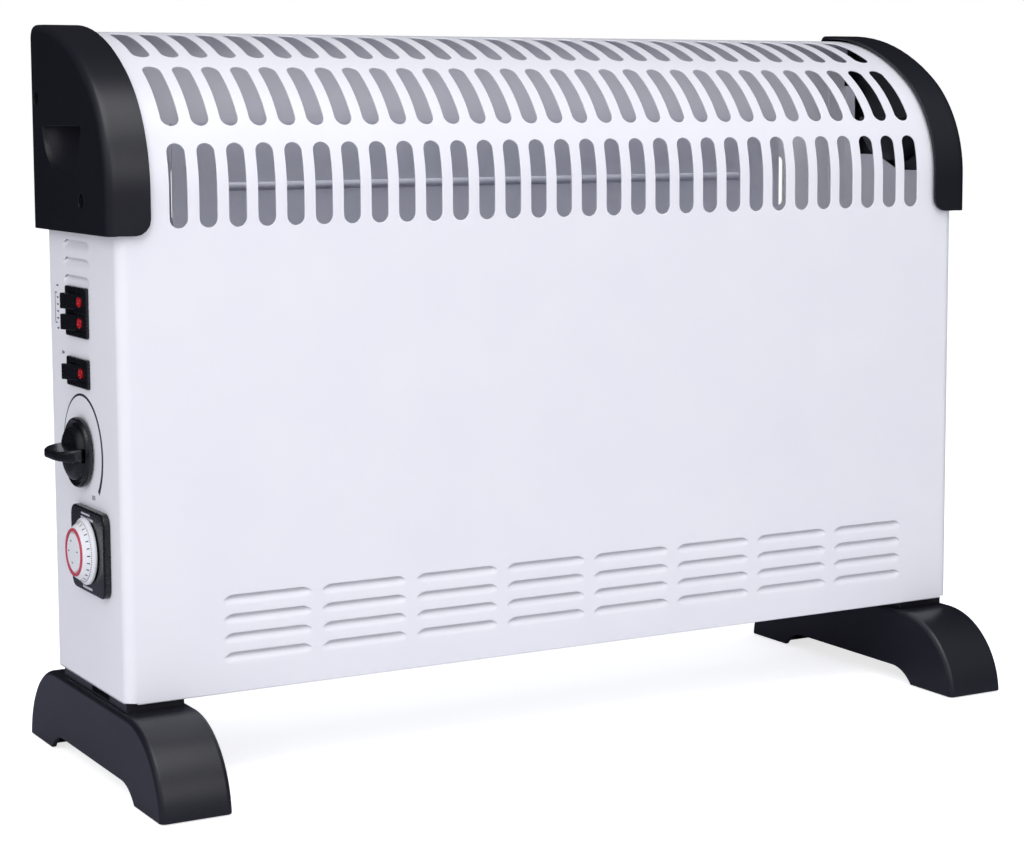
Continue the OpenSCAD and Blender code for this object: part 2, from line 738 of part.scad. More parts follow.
// Switch frame of height h around rockers at the heights in at
module switch_frame(h, at) {
    difference() {
        union() {
            linear_extrude(1.4) soft_rect(h, rocker_l, 1.2);
            translate([0, 0, 1.3]) linear_extrude(0.7) soft_rect(h - 0.9, rocker_l - 0.9, 1);
            box([h - 2 * switch_lip, rocker_l - 2 * switch_lip, 16.4], [0, 0, -7.8]);
            // Snap ramps behind the sheet
            for (s = [-1, 1]) box([5, 0.5, 5], [0, s * (rocker_l / 2 - switch_lip + 0.2), -4.5]);
        }
        for (x = at) {
            box([rocker_h + 2 * rocker_play, 2 * (rocker_r + rocker_play), 16], [x, 0, -4]);
            translate([x - rocker_h / 2 - 1.1, 0, rocker_pivot]) rotate([0, 90, 0])
                cylinder(r = 1 + spin_play, h = rocker_h + 2.2);
        }
    }
}

module double_switch_frame() {
    color(black) on_side(panel_y, double_z) switch_frame(double_h, [-double_step, double_step]);
}

module single_switch_frame() {
    color(black) on_side(panel_y, single_z) switch_frame(single_h, [0]);
}

module switch_tabs() {
    color(brass) {
        for (z = [double_z - double_step, double_z + double_step, single_z]) for (y = [-8, 0, 8])
            on_side(panel_y + y, z) box([6.3, 0.8, 8], [0, 0, -20]);
        for (s = [-1, 1]) on_side(knob_y + s * 6, knob_z) box([6.3, 0.8, 8], [0, 0, -21.4]);
        for (s = [-1, 1]) on_side(timer_y + s * 9, timer_z + 8) box([6.3, 0.8, 8], [0, 0, -30]);
    }
}

module timer_bezel() {
    h = timer_face[1];
    w = timer_face[0];
    color(black) on_side(timer_y, timer_z) difference() {
        union() {
            linear_extrude(3) soft_rect(h, w, 6);
            translate([0, 0, 2.9]) linear_extrude(0.9) soft_rect(h - 1.4, w - 1.4, 5.3);
        }
        translate([0, 0, -1]) linear_extrude(3.2) soft_rect(h - 3.6, w - 3.6, 4.2);
        translate([0, 0, -1]) cylinder(r = timer_shaft_r + 3, h = 8);
    }
}

module timer_movement() {
    h = timer_face[1] - 6.4;
    w = timer_face[0] - 6.4;
    color("#d9d9dc") on_side(timer_y, timer_z) difference() {
        union() {
            box([h, w, 24], [0, 0, -12]);
            box([h, w, 3], [0, 0, 0.7]);
            translate([-4, 0, -25.5]) cylinder(r = 15, h = 2);
        }
        translate([0, 0, -16]) cylinder(r = timer_shaft_r + spin_play, h = 20);
    }
}

module timer_shaft() {
    color(zinc) on_side(timer_y, timer_z) translate([0, 0, -15]) cylinder(r = timer_shaft_r, h = 24);
}

module timer_dial() {
    color("#eceef0") on_side(timer_y, timer_z) difference() {
        union() {
            translate([0, 0, 4.2]) cylinder(r = dial_r, h = 1.8);
            translate([0, 0, 5.9]) cylinder(r1 = dial_r - 0.4, r2 = 12.4, h = 4.6);
        }
        translate([0, 0, 4]) cylinder(r = 10, h = 3.4);
        difference() {
            translate([0, 0, 4]) cylinder(r = 12, h = 3);
            translate([0, 0, 3]) cylinder(r = 11, h = 5);
        }
        translate([0, 0, 0]) cylinder(r = timer_shaft_r + 0.05, h = 9.1);
        translate([0, 0, 9.7]) cylinder(r = 10, h = 3);
    }
}

module timer_ring() {
    color("#cf4a63") on_side(timer_y, timer_z) translate([0, 0, 10.5]) difference() {
        cylinder(r1 = 12.2, r2 = 11.8, h = 0.9);
        translate([0, 0, -1]) cylinder(r = 10.6, h = 3);
    }
}

module timer_cap() {
    color("#eef0f0") on_side(timer_y, timer_z) {
        translate([0, 0, 9.7]) cylinder(r = 9.9, h = 1.2);
        translate([0, 0, 10.8]) cylinder(r1 = 9.9, r2 = 9.5, h = 0.4);
    }
}

leg_in = 27.5;
module fan_motor_stator() {
    color("#6d7077") difference() {
        along_x(motor_x[0], motor_x[1] - motor_x[0]) difference() {
            translate([10, fan_z]) soft_rect(56, 44, 3);
            translate([fan_y, fan_z]) circle(r = 12.6);
            translate([17, fan_z - 14]) square([leg_in - 17, 28]);
        }
        for (s = [-1, 1]) rod(motor_x[0] - 2, motor_x[1] + 2, fan_y, fan_z + s * 17.5, 2.2);
    }
}

module fan_motor_coil() {
    color("#7a4a2a") difference() {
        translate([motor_x[0] - 6, 18, fan_z - 13.6]) cube([30, 28, 27.2]);
        translate([motor_x[0] - 0.3, leg_in - 0.3, fan_z - 20]) cube([18.6, 11.1, 40]);
    }
}

module fan_motor_brackets() {
    color(zinc) difference() {
        union() {
            for (x = [motor_x[0] - 15, motor_x[1] + 10]) {
                translate([x, fan_y - 8, fan_z - 22]) cube([3, 16, 44]);
                rod(x - (x < motor_x[0] ? 0 : 3), x + (x < motor_x[0] ? 6 : 3), fan_y, fan_z, 6);
            }
            for (s = [-1, 1]) rod(motor_x[0] - 13, motor_x[1] + 11, fan_y, fan_z + s * 17.5, 2);
        }
        rod(motor_x[0] - 30, motor_x[1] + 30, fan_y, fan_z, fan_shaft_r + spin_play);
    }
}

module fan_rotor() {
    color("#9fa3aa") {
        rod(motor_x[0], motor_x[1], fan_y, fan_z, 12);
        rod(motor_x[0] - 15, wheel_x[1] + 12, fan_y, fan_z, fan_shaft_r);
    }
}

module fan_wheel() {
    color(alu) difference() {
        union() {
            for (x = [wheel_x[0], wheel_x[0] + fan_l / 2 - 1, wheel_x[1] - 1.2])
                rod(x, x + 1.2, fan_y, fan_z, fan_r - 0.5);
            for (i = [0:23]) translate([wheel_x[0], fan_y, fan_z]) rotate([i * 15, 0, 0])
                translate([0, fan_r - 4.8, 0]) rotate([-28, 0, 0])
                    cube([fan_l, 5, 0.8]);
            rod(wheel_x[0] - 7, wheel_x[0] + 1, fan_y, fan_z, 6);
            rod(wheel_x[1] - 6, wheel_x[1], fan_y, fan_z, 5);
        }
        rod(wheel_x[0] - 10, wheel_x[1] + 10, fan_y, fan_z, fan_shaft_r + 0.04);
    }
}

module fan_shroud() {
    x0 = wheel_x[0] - 1;
    len = fan_l + 3;
    color(zinc) {
        difference() {
            rod(x0, x0 + len, fan_y, fan_z, fan_r + 4.8);
            rod(x0 - 1, x0 + len + 1, fan_y, fan_z, fan_r + 4);
            // Open at the top and towards the front
            translate([x0 - 1, fan_y - 60, fan_z - 12]) cube([len + 2, 60, 60]);
            translate([x0 - 1, fan_y - 1, fan_z + 8]) cube([len + 2, 60, 60]);
        }
        for (x = [x0 + 6, x0 + len - 18]) difference() {
            translate([x, fan_y - 7, floor_t]) cube([12, 14, 8]);
            rod(x - 1, x + 14, fan_y, fan_z, fan_r + 4.2);
        }
    }
}

module fan_end_bearing() {
    x = wheel_x[1] + 5;
    color(zinc) difference() {
        union() {
            translate([x, fan_y - 9, floor_t]) cube([1.6, 18, fan_z + 8 - floor_t]);
            translate([x, fan_y - 9, floor_t]) cube([14, 18, 1.6]);
            rod(x, x + 6, fan_y, fan_z, 6.5);
        }
        rod(x - 2, x + 10, fan_y, fan_z, fan_shaft_r + spin_play);
    }
}

module fan_mount() {
    x = motor_x[0] - 15;
    color(zinc) difference() {
        union() {
            translate([x - 1.6, fan_y - 13, floor_t]) cube([1.6, 26, 54]);
            translate([x - 13, fan_y - 13, floor_t]) cube([13, 26, 1.6]);
        }
        rod(x - 3, x + 2, fan_y, fan_z, 7);
    }
}

module terminal_block() {
    color("#ece9e0") difference() {
        union() {
            translate([block_x, 2, floor_t]) cube([14, 36, 13]);
            for (y = [2, 13.3, 24.7, 36]) translate([block_x, y, floor_t]) cube([14, 2, 16]);
        }
        for (y = [8.6, 20, 31.3]) {
            translate([block_x + 7, y, floor_t + 6]) cylinder(r = 2.2, h = 20);
            rod(block_x - 4, block_x + 18, y, floor_t + 5, 1.6);
        }
    }
}

module terminal_screws() {
    color(brass) for (y = [8.6, 20, 31.3]) translate([block_x + 7, y, floor_t + 6.8]) difference() {
        cylinder(r = 2.1, h = 4);
        box([5, 0.7, 1.6], [0, 0, 4]);
    }
}

module cord_gland() {
    color("#1d1e22") translate([gland_at[0], back_y + panel_t, gland_at[1]]) rotate([-90, 0, 0])
        difference() {
            union() {
                cylinder(r = 9, h = 1.6);
                cylinder(r1 = 8, r2 = 6.8, h = 4.2);
                translate([0, 0, -7]) cylinder(r = 6.1, h = 8);
                translate([0, 0, -2.6]) cylinder(r = 6.9, h = 1.6);
            }
            translate([0, 0, -9]) cylinder(r = cord_r, h = 20);
        }
}

module earth_stud() {
    color(brass) translate([stud_x, 0, floor_t]) {
        cylinder(r = 2, h = 13);
        cylinder(r = 5, h = 0.8);
        translate([0, 0, 3]) cylinder(r = 4, h = 3, $fn = 6);
    }
}

// Round wire through a list of points
module wire(pts) {
    for (i = [0:len(pts) - 2]) {
        d = pts[i + 1] - pts[i];
        translate(pts[i]) rotate([0, acos(d[2] / norm(d)), atan2(d[1], d[0])])
            cylinder(r = 1.2, h = norm(d), $fn = 24);
        if (i > 0) translate(pts[i]) sphere(r = 1.4, $fn = 24);
    }
}

// Moves points given from the left side wall and the floor plate to their place
function lead(pts) = [for (p = pts) [p[0] - side_x, p[1], p[2]]];

module wiring() {
    clamp_z = floor_t + 5.2;
    upper_z = double_z + double_step;
    color("#8c2f2a") {
        wire(lead([[38.5, 8.6, clamp_z], [43, 8.6, 60], [43, 20, 90], [37, 14.5, upper_z - 44.6],
            [26.4, 14.5, upper_z]]));
        wire(lead([[38.5, 20, clamp_z], [46, 22, 70], [46, 30, 150], [33, 11, knob_z], [25.8, 11, knob_z]]));
    }
    color("#2c4f8a") {
        wire(lead([[38.5, 31.3, clamp_z], [50, 33, 70], [50, 38, 190], [control_w - 20, 6, cutout_z],
            [control_w - 17.9, 2, cutout_z]]));
        wire(lead([[35.4, -18, timer_z + 8], [45, -24, 150], [45, -14, 200], [31, -1.5, single_z],
            [24.5, -1.5, single_z]]));
    }
    color("#5e8c3a") wire([[stud_x, 0, floor_t + 13.3], [stud_x, 0, 76], [-bay_x - 9, 12, 110],
        [-bay_x - 8, 12, 160]]);
}

// Pan screw along local z: the head's underside at zero, the shank below
module pan_screw(head, high, shank, len) {
    difference() {
        union() {
            cylinder(r = head, h = high * 0.55);
            translate([0, 0, high * 0.5]) cylinder(r1 = head, r2 = head * 0.72, h = high * 0.5);
            translate([0, 0, -len]) cylinder(r = shank, h = len + 0.1);
        }
        for (a = [0, 90]) rotate([0, 0, a]) box([head * 1.1, 0.7, 1.2], [0, 0, high]);
    }
}

module cap_screws() {
    color("#30313a") for (s = [0, 1]) mirror([s, 0, 0]) for (p = cap_bolts)
        translate([cap_x + 2, p[0], p[1]]) rotate([0, -90, 0]) pan_screw(3.3, 1.7, thread_r - 0.05, 11);
}

module foot_screws() {
    color(zinc) for (x = [-foot_x, foot_x]) for (y = foot_bolts)
        translate([x, y, leg_top - plastic_t]) mirror([0, 0, 1]) pan_screw(3.6, 2, thread_r - 0.05, 11);
}

module panel_screws() {
    color(zinc) for (p = panel_bolts) translate([p[0], back_y + panel_t, p[1]]) rotate([-90, 0, 0])
        pan_screw(3.4, 1.9, thread_r - 0.05, 6);
}

module bulkhead_screws() {
    color(zinc) for (x = [-bay_x - 6.5, bay_x + 6.5]) for (y = bulk_bolts)
        translate([x, y, floor_t + sheet_t]) pan_screw(3.2, 1.8, thread_r - 0.05, 4);
}

placed() front_casing();
placed() rear_panel();
placed() bottom_plate();
placed() left_end_cap();
placed() right_end_cap();
placed() left_foot();
placed() right_foot();
placed() foot_pads();
placed() heat_reflector();
placed() left_bulkhead();
placed() right_bulkhead();
placed() lower_element_fins();
placed() upper_element_fins();
placed() lower_element_rod();
placed() upper_element_rod();
placed() element_bushes();
placed() thermal_cutout();
placed() thermostat_body();
placed() thermostat_nut();
placed() thermostat_shaft();
placed() thermostat_knob();
placed() double_switch_frame();
placed() upper_heat_rocker();
placed() lower_heat_rocker();
placed() upper_heat_lens();
placed() lower_heat_lens();
placed() single_switch_frame();
placed() fan_rocker();
placed() fan_lens();
placed() switch_tabs();
placed() timer_bezel();
placed() timer_movement();
placed() timer_shaft();
placed() timer_dial();
placed() timer_ring();
placed() timer_cap();
placed() fan_motor_stator();
placed() fan_motor_coil();
placed() fan_motor_brackets();
placed() fan_rotor();
placed() fan_wheel();
placed() fan_shroud();
placed() fan_end_bearing();
placed() fan_mount();
placed() terminal_block();
placed() terminal_screws();
placed() cord_gland();
placed() earth_stud();
placed() wiring();
placed() cap_screws();
placed() foot_screws();
placed() panel_screws();
placed() bulkhead_screws();
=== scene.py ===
"""Dresses the solid model of a free-standing convector heater: sheet metal, mouldings and controls."""

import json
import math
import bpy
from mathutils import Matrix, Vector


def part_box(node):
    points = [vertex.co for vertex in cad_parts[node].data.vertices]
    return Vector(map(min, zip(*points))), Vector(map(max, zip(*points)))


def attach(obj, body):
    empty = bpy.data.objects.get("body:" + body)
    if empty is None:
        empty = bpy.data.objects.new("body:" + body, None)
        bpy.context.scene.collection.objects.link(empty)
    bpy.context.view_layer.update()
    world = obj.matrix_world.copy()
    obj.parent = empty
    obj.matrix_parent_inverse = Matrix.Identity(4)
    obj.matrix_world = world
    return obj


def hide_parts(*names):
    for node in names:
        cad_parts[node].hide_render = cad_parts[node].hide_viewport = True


bl_info = {
    "name": "Convector Heater",
    "version": (1, 0, 0),
    "blender": (4, 5, 0),
    "location": "3D Viewport > Sidebar > Heater",
    "description": "Gives the solid model of a convector heater its finished pieces, materials and stage",
    "category": "Add Mesh",
}

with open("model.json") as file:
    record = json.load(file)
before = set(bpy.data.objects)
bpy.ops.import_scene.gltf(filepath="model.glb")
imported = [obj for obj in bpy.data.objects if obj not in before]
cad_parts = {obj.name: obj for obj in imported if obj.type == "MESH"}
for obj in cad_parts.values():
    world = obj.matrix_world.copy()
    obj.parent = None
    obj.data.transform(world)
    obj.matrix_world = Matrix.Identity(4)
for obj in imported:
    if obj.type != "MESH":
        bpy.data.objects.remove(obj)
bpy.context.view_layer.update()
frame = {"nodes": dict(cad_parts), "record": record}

import bmesh
import bpy
import numpy as np
from bpy.props import FloatProperty, FloatVectorProperty, IntProperty, PointerProperty
from mathutils import Matrix, Vector

CASING_LOW, CASING_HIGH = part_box("front_casing")
# The casing's middle lies beside the origin, because the knob stands out on one side only
MIDDLE = (CASING_LOW.x + CASING_HIGH.x) / 2
MM = 0.001
# Walls of the casing in millimetres, its sides about its middle
SIDE = (CASING_HIGH.x - CASING_LOW.x) / 2 / MM
FRONT, BACK = CASING_LOW.y / MM, CASING_HIGH.y / MM
BASE, TOP = CASING_LOW.z / MM, CASING_HIGH.z / MM
BODY_OF = {node: body for body, nodes in frame["record"]["behaviour"]["bodies"].items() for node in nodes}
SLOT_OF = {part["node"]: part["material_slot"] for part in frame["record"]["subparts"]}


# ---- Colours, nodes and materials


def linear(value):
    """Linear colour of an sRGB hex value."""
    parts = [int(value[i : i + 2], 16) / 255 for i in (1, 3, 5)]
    return [c / 12.92 if c <= 0.04045 else ((c + 0.055) / 1.055) ** 2.4 for c in parts] + [1.0]


def add(tree, kind, values=None, **settings):
    """Adds a node. Settings are its attributes. Values go to its inputs: a socket or a node, by its first output, is
    linked, and a hex value is a colour."""
    made = tree.nodes.new(kind)
    for key, value in settings.items():
        setattr(made, key, value)
    for key, value in (values or {}).items():
        if isinstance(value, bpy.types.Node):
            value = value.outputs[0]
        if isinstance(value, bpy.types.NodeSocket):
            tree.links.new(value, made.inputs[key])
        else:
            made.inputs[key].default_value = linear(value) if isinstance(value, str) else value
    return made


def emptied(holder):
    """The node tree of a material or a world, without its first nodes."""
    holder.use_nodes = True
    holder.node_tree.nodes.clear()
    return holder.node_tree


def blank(name):
    """New material and its empty node tree."""
    material = bpy.data.materials.new(name)
    return material, emptied(material)


def grained(tree, scale_mm, detail=2.0, stretch=(1, 1, 1)):
    """Noise in object space with features of the given size, drawn out along the axes by stretch."""
    place = add(tree, "ShaderNodeTexCoord").outputs["Object"]
    place = add(tree, "ShaderNodeMapping", {"Vector": place, "Scale": stretch})
    return add(tree, "ShaderNodeTexNoise", {"Vector": place, "Scale": 1 / (scale_mm * MM), "Detail": detail})


def surfaced(tree, share, light, dark, rough, heights, **surface):
    """Ends a material: a tone between light and dark, a roughness, and a bump of pairs of height and depth in mm."""
    tone = add(tree, "ShaderNodeMix", {0: share, 6: light, 7: dark}, data_type="RGBA")
    values = {"Base Color": tone.outputs[2], "Roughness": rough, **surface}
    for height, depth_mm in heights:
        under = {"Normal": values["Normal"]} if "Normal" in values else {}
        values["Normal"] = add(tree, "ShaderNodeBump", {"Height": height, "Distance": depth_mm * MM, "Strength": 1.0,
                                                        **under})
    add(tree, "ShaderNodeOutputMaterial", {"Surface": add(tree, "ShaderNodeBsdfPrincipled", values)})


def finish(name, colour, shade, fine_mm, depth_mm, rough, spread, wave_mm=0.0, wave_depth=0.0, stretch=(1, 1, 1),
           **surface):
    """Material whose colour drifts towards shade, with a fine grain in bump and roughness and an optional wave."""
    material, tree = blank(name)
    fine = grained(tree, fine_mm, 3.0, stretch)
    gloss = add(tree, "ShaderNodeMapRange", {0: fine, 3: rough - spread, 4: rough + spread})
    waves = [(grained(tree, wave_mm, 1.0), wave_depth)] if wave_mm else []
    surfaced(tree, grained(tree, 45.0, 2.0), colour, shade, gloss, [(fine, depth_mm)] + waves, **surface)
    return material


def galvanised_steel():
    """Hot-dip galvanised sheet, passivated and dull: zinc crystals, each with its own tone and gloss."""
    material, tree = blank("galvanised_steel")
    place = add(tree, "ShaderNodeTexCoord").outputs["Object"]
    # Crystals 7 mm wide
    spangle = add(tree, "ShaderNodeTexVoronoi", {"Vector": place, "Scale": 1 / (7 * MM)}).outputs
    gloss = add(tree, "ShaderNodeMapRange", {0: spangle["Color"], 3: 0.66, 4: 0.74})
    surfaced(tree, spangle["Color"], "#ECEDF5", "#F1F2F8", gloss, [(spangle["Distance"], 0.01)], Metallic=1.0)
    return material


def banded(name, light, dark, axis, pitch_mm, rough, **surface):
    """Material with fine bands square to an axis, such as stacked sheets or turns of wire."""
    material, tree = blank(name)
    place = add(tree, "ShaderNodeTexCoord").outputs["Object"]
    # A band wave repeats every 2 pi / 20 of its own units
    bands = add(tree, "ShaderNodeTexWave", {"Vector": place, "Scale": math.pi / 10 / (pitch_mm * MM)},
                bands_direction=axis).outputs["Fac"]
    surfaced(tree, bands, dark, light, rough, [(bands, 0.1)], **surface)
    return material


def make_finishes(colours):
    """All materials of the heater, by the name of the slot in its record."""
    coat = list(colours.coat) + [1.0]
    dark = list(colours.moulding) + [1.0]
    gloss = list(colours.control) + [1.0]
    return {
        # Polyester powder coat, sprayed and baked: an even white with a faint blue cast, a satin gloss and the
        # soft waves of orange peel, about 3 mm apart
        "white_paint": finish("satin_powder_coat", coat, "#E9E9F1", 1.1, 0.004, 0.34, 0.03, 3.0, 0.006, IOR=1.5),
        # Polypropylene moulded in a spark-eroded tool: near black, with a matt grain that catches soft light.
        # The real grain is 0.3 mm wide, drawn at 0.9 mm so that it shows
        "charcoal_plastic": finish("grained_polypropylene", dark, "#1C1C25", 0.9, 0.04, 0.36, 0.05, IOR=1.49),
        # ABS from a polished tool: deep black with a clear reflection and a slight unevenness
        "black_gloss": finish("black_abs", gloss, "#15161B", 1.6, 0.006, 0.27, 0.03, IOR=1.53),
        "zinc_steel": galvanised_steel(),
        # Stator sheets of 0.5 mm, stacked along the shaft, blued and dull
        "dark_steel": banded("laminated_steel", "#7B7E86", "#4E5157", "X", 1.0, 0.5, Metallic=1.0),
        # Drawn stainless tube with lengthwise marks
        "rod_steel": finish("drawn_stainless_tube", "#8D8F94", "#77736E", 1.2, 0.01, 0.38, 0.06,
                            stretch=(0.05, 1, 1), Metallic=1.0),
        # Rolled aluminium strip with fine roll marks
        "aluminium": finish("rolled_aluminium", "#D4D7DC", "#BEC2C8", 1.5, 0.006, 0.34, 0.05,
                            stretch=(1, 1, 0.08), Metallic=1.0),
        # Turned brass, slightly tarnished
        "brass": finish("turned_brass", "#D3B057", "#B08B3C", 1.0, 0.006, 0.3, 0.05, Metallic=1.0),
        # Lacquered copper wire, wound in turns of 0.6 mm, drawn at 1.2 mm
        "copper_coil": banded("lacquered_copper_winding", "#9A5B32", "#5E3218", "Z", 1.2, 0.35, IOR=1.5,
                              **{"Coat Weight": 0.6}),
        # Steatite, pressed and fired: off-white with a dull glaze
        "ceramic": finish("steatite_ceramic", "#E9E4D8", "#D9D2C3", 1.4, 0.012, 0.36, 0.05, IOR=1.6),
        # Light ABS, moulded smooth
        "white_plastic": finish("white_abs", "#EDEEF2", "#E2E4EA", 1.5, 0.005, 0.33, 0.03, IOR=1.53),
        # Clear red acrylic: saturated, glossy, a little light passes through
        "red_plastic": finish("red_acrylic", "#D8101C", "#A3000C", 0.8, 0.004, 0.16, 0.03, IOR=1.49,
                              **{"Transmission Weight": 0.25, "Coat Weight": 0.5}),
        "ring_plastic": finish("red_abs", "#CE4A62", "#B93A52", 1.0, 0.004, 0.36, 0.04, IOR=1.53),
        # Soft rubber: dull, slightly dusty
        "rubber": finish("soft_rubber", "#2B2B2E", "#39393D", 0.8, 0.02, 0.8, 0.06, IOR=1.52),
        # Wire insulation of heat-proof sleeve
        "wire_sleeve": finish("wire_sleeve", "#8C2F2A", "#74302A", 1.0, 0.03, 0.6, 0.05, IOR=1.5),
        # Phosphated steel: dark and dull
        "dark_screw": finish("phosphated_steel", "#33343B", "#26272D", 0.6, 0.01, 0.5, 0.06, Metallic=1.0),
        # Pad-printed ink, flat and slightly worn
        "ink": finish("printing_ink", "#24252C", "#35363F", 0.7, 0.003, 0.5, 0.06, IOR=1.5),
        "light_ink": finish("light_printing_ink", "#C9CAD4", "#B3B4C0", 0.7, 0.003, 0.5, 0.06, IOR=1.5),
    }


FINISHES = {}


# ---- Meshes


def placed(name, points, faces, finish_name):
    """Object from points in millimetres about the casing's middle."""
    spots = np.asarray(points, float).reshape(-1, 3) * MM
    spots[:, 0] += MIDDLE
    return plain(name, spots, faces, finish_name)


def linked(name, mesh):
    """New object with a mesh, in the scene."""
    made = bpy.data.objects.new(name, mesh)
    bpy.context.scene.collection.objects.link(made)
    return made


def plain(name, points, faces, finish_name=None):
    """Object from points in metres."""
    mesh = bpy.data.meshes.new(name)
    mesh.from_pydata([tuple(p) for p in points], [], [tuple(f) for f in faces])
    if finish_name:
        mesh.materials.append(FINISHES[finish_name])
    return linked(name, mesh)


def welded(polygons, places=4):
    """Points and faces of polygons given by their corners, with equal corners made one."""
    index, points, faces = {}, [], []
    for polygon in polygons:
        face = []
        for corner in polygon:
            key = tuple(round(c, places) + 0.0 for c in corner)
            if key not in index:
                index[key] = len(points)
                points.append(corner)
            if index[key] not in face:
                face.append(index[key])
        if len(face) > 2:
            faces.append(face)
    return points, faces


def drawn(name, polygons):
    """Object without a finish from polygons in millimetres, about the world's origin."""
    points, faces = welded(polygons)
    return plain(name, np.array(points) * MM, faces)


def filled(loops):
    """Triangles of a flat region between closed loops of points, the first loop outermost."""
    shape = bmesh.new()
    edges = []
    for loop in loops:
        corners = [shape.verts.new(p) for p in loop]
        edges += [shape.edges.new((corners[i - 1], corners[i])) for i in range(len(corners))]
    bmesh.ops.triangle_fill(shape, use_beauty=True, edges=edges)
    faces = [[tuple(v.co) for v in face.verts] for face in shape.faces]
    shape.free()
    return faces


def smoothed(piece, width_mm=0.0, segments=2, angle=35, wall_mm=0.0):
    """Gives a mesh a wall, rounded edges and clean shading, and applies them."""
    for face in piece.data.polygons:
        face.use_smooth = True
    if wall_mm:
        wall = piece.modifiers.new("Wall", "SOLIDIFY")
        wall.thickness, wall.offset, wall.use_even_offset = wall_mm * MM, -1, True
    if width_mm:
        edge = piece.modifiers.new("Edges", "BEVEL")
        edge.width, edge.segments, edge.limit_method = width_mm * MM, segments, "ANGLE"
        edge.angle_limit, edge.use_clamp_overlap, edge.miter_outer = math.radians(angle), False, "MITER_ARC"
    shading = piece.modifiers.new("Shading", "WEIGHTED_NORMAL")
    shading.keep_sharp, shading.weight = True, 80
    bpy.context.view_layer.update()
    graph = bpy.context.evaluated_depsgraph_get()
    finished = bpy.data.meshes.new_from_object(piece.evaluated_get(graph), depsgraph=graph)
    piece.modifiers.clear()
    piece.data = finished
    return piece


def outward(mesh):
    """Turns the faces of a mesh outward."""
    shape = bmesh.new()
    shape.from_mesh(mesh)
    bmesh.ops.recalc_face_normals(shape, faces=shape.faces)
    shape.to_mesh(mesh)
    shape.free()


def joined(pieces):
    """Makes one object of several."""
    shape = bmesh.new()
    for piece in pieces:
        shape.from_mesh(piece.data)
    mesh = bpy.data.meshes.new(pieces[0].name)
    shape.to_mesh(mesh)
    shape.free()
    for material in pieces[0].data.materials:
        mesh.materials.append(material)
    pieces[0].data = mesh
    for piece in pieces[1:]:
        bpy.data.objects.remove(piece)
    return pieces[0]


def settle(piece, node, *more):
    """Lets a piece stand for CAD nodes of one body."""
    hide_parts(node, *more)
    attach(piece, BODY_OF[node])
    return piece


def softened(node, width_mm, segments=2, angle=30):
    """Copy of a CAD solid with welded faces and rounded edges, which stands for it."""
    source = frame["nodes"][node].data
    shape = bmesh.new()
    spots = [shape.verts.new(v.co) for v in source.vertices]
    for face in source.polygons:
        try:
            shape.faces.new([spots[i] for i in face.vertices])
        except ValueError:
            continue
    bmesh.ops.remove_doubles(shape, verts=shape.verts, dist=2e-6)
    bmesh.ops.dissolve_degenerate(shape, dist=1e-6, edges=shape.edges)
    bmesh.ops.dissolve_limit(shape, angle_limit=math.radians(0.8), verts=shape.verts, edges=shape.edges)
    mesh = bpy.data.meshes.new(node + "_finished")
    shape.to_mesh(mesh)
    shape.free()
    mesh.materials.append(FINISHES[SLOT_OF[node]])
    return settle(smoothed(linked(node + "_finished", mesh), width_mm, segments, angle), node)


def grown(name, tree, values, base=None):
    """Runs a geometry tree on an object and returns its result as a plain mesh."""
    holder = linked(name, base or bpy.data.meshes.new(name))
    modifier = holder.modifiers.new(name, "NODES")
    modifier.node_group = tree
    for item in tree.interface.items_tree:
        if item.in_out == "INPUT" and item.name in values:
            modifier[item.identifier] = values[item.name]
    bpy.context.view_layer.update()
    graph = bpy.context.evaluated_depsgraph_get()
    mesh = bpy.data.meshes.new_from_object(holder.evaluated_get(graph), depsgraph=graph)
    bpy.data.objects.remove(holder)
    return mesh


def geometry_tree(name, inputs):
    """New geometry tree with its named inputs, and its input node."""
    tree = bpy.data.node_groups.new(name, "GeometryNodeTree")
    tree.interface.new_socket(name="Geometry", in_out="INPUT", socket_type="NodeSocketGeometry")
    for label, kind in inputs:
        tree.interface.new_socket(name=label, in_out="INPUT", socket_type="NodeSocket" + kind)
    tree.interface.new_socket(name="Geometry", in_out="OUTPUT", socket_type="NodeSocketGeometry")
    return tree, add(tree, "NodeGroupInput").outputs


def ended(tree, geometry, material):
    """Ends a geometry tree: makes its instances real and gives them a material."""
    whole = add(tree, "GeometryNodeRealizeInstances", {0: geometry})
    faced = add(tree, "GeometryNodeSetMaterial", {"Geometry": whole, "Material": material})
    add(tree, "NodeGroupOutput", {0: faced})
    return tree


def pattern_tree():
    """Rows and columns of one cell, joined into a sheet."""
    tree, given = geometry_tree("Pattern Grid", [
        ("Cell", "Object"), ("Columns", "Int"), ("Rows", "Int"), ("Column Step", "Float"), ("Row Step", "Float"),
        ("First Column", "Float"), ("First Row", "Float"), ("Finish", "Material")])
    across = add(tree, "ShaderNodeCombineXYZ", {0: given["Column Step"]})
    start = add(tree, "ShaderNodeCombineXYZ", {0: given["First Column"], 1: given["First Row"]})
    columns = add(tree, "GeometryNodeMeshLine", {"Count": given["Columns"], "Offset": across,
                                                 "Start Location": start})
    upward = add(tree, "ShaderNodeCombineXYZ", {1: given["Row Step"]})
    rows = add(tree, "GeometryNodeMeshLine", {"Count": given["Rows"], "Offset": upward})
    line = add(tree, "GeometryNodeInstanceOnPoints", {"Points": rows, "Instance": columns})
    points = add(tree, "GeometryNodeRealizeInstances", {0: line})
    cell = add(tree, "GeometryNodeObjectInfo", {"Object": given["Cell"]})
    cells = add(tree, "GeometryNodeInstanceOnPoints", {"Points": points, "Instance": cell.outputs["Geometry"]})
    return ended(tree, cells, given["Finish"])


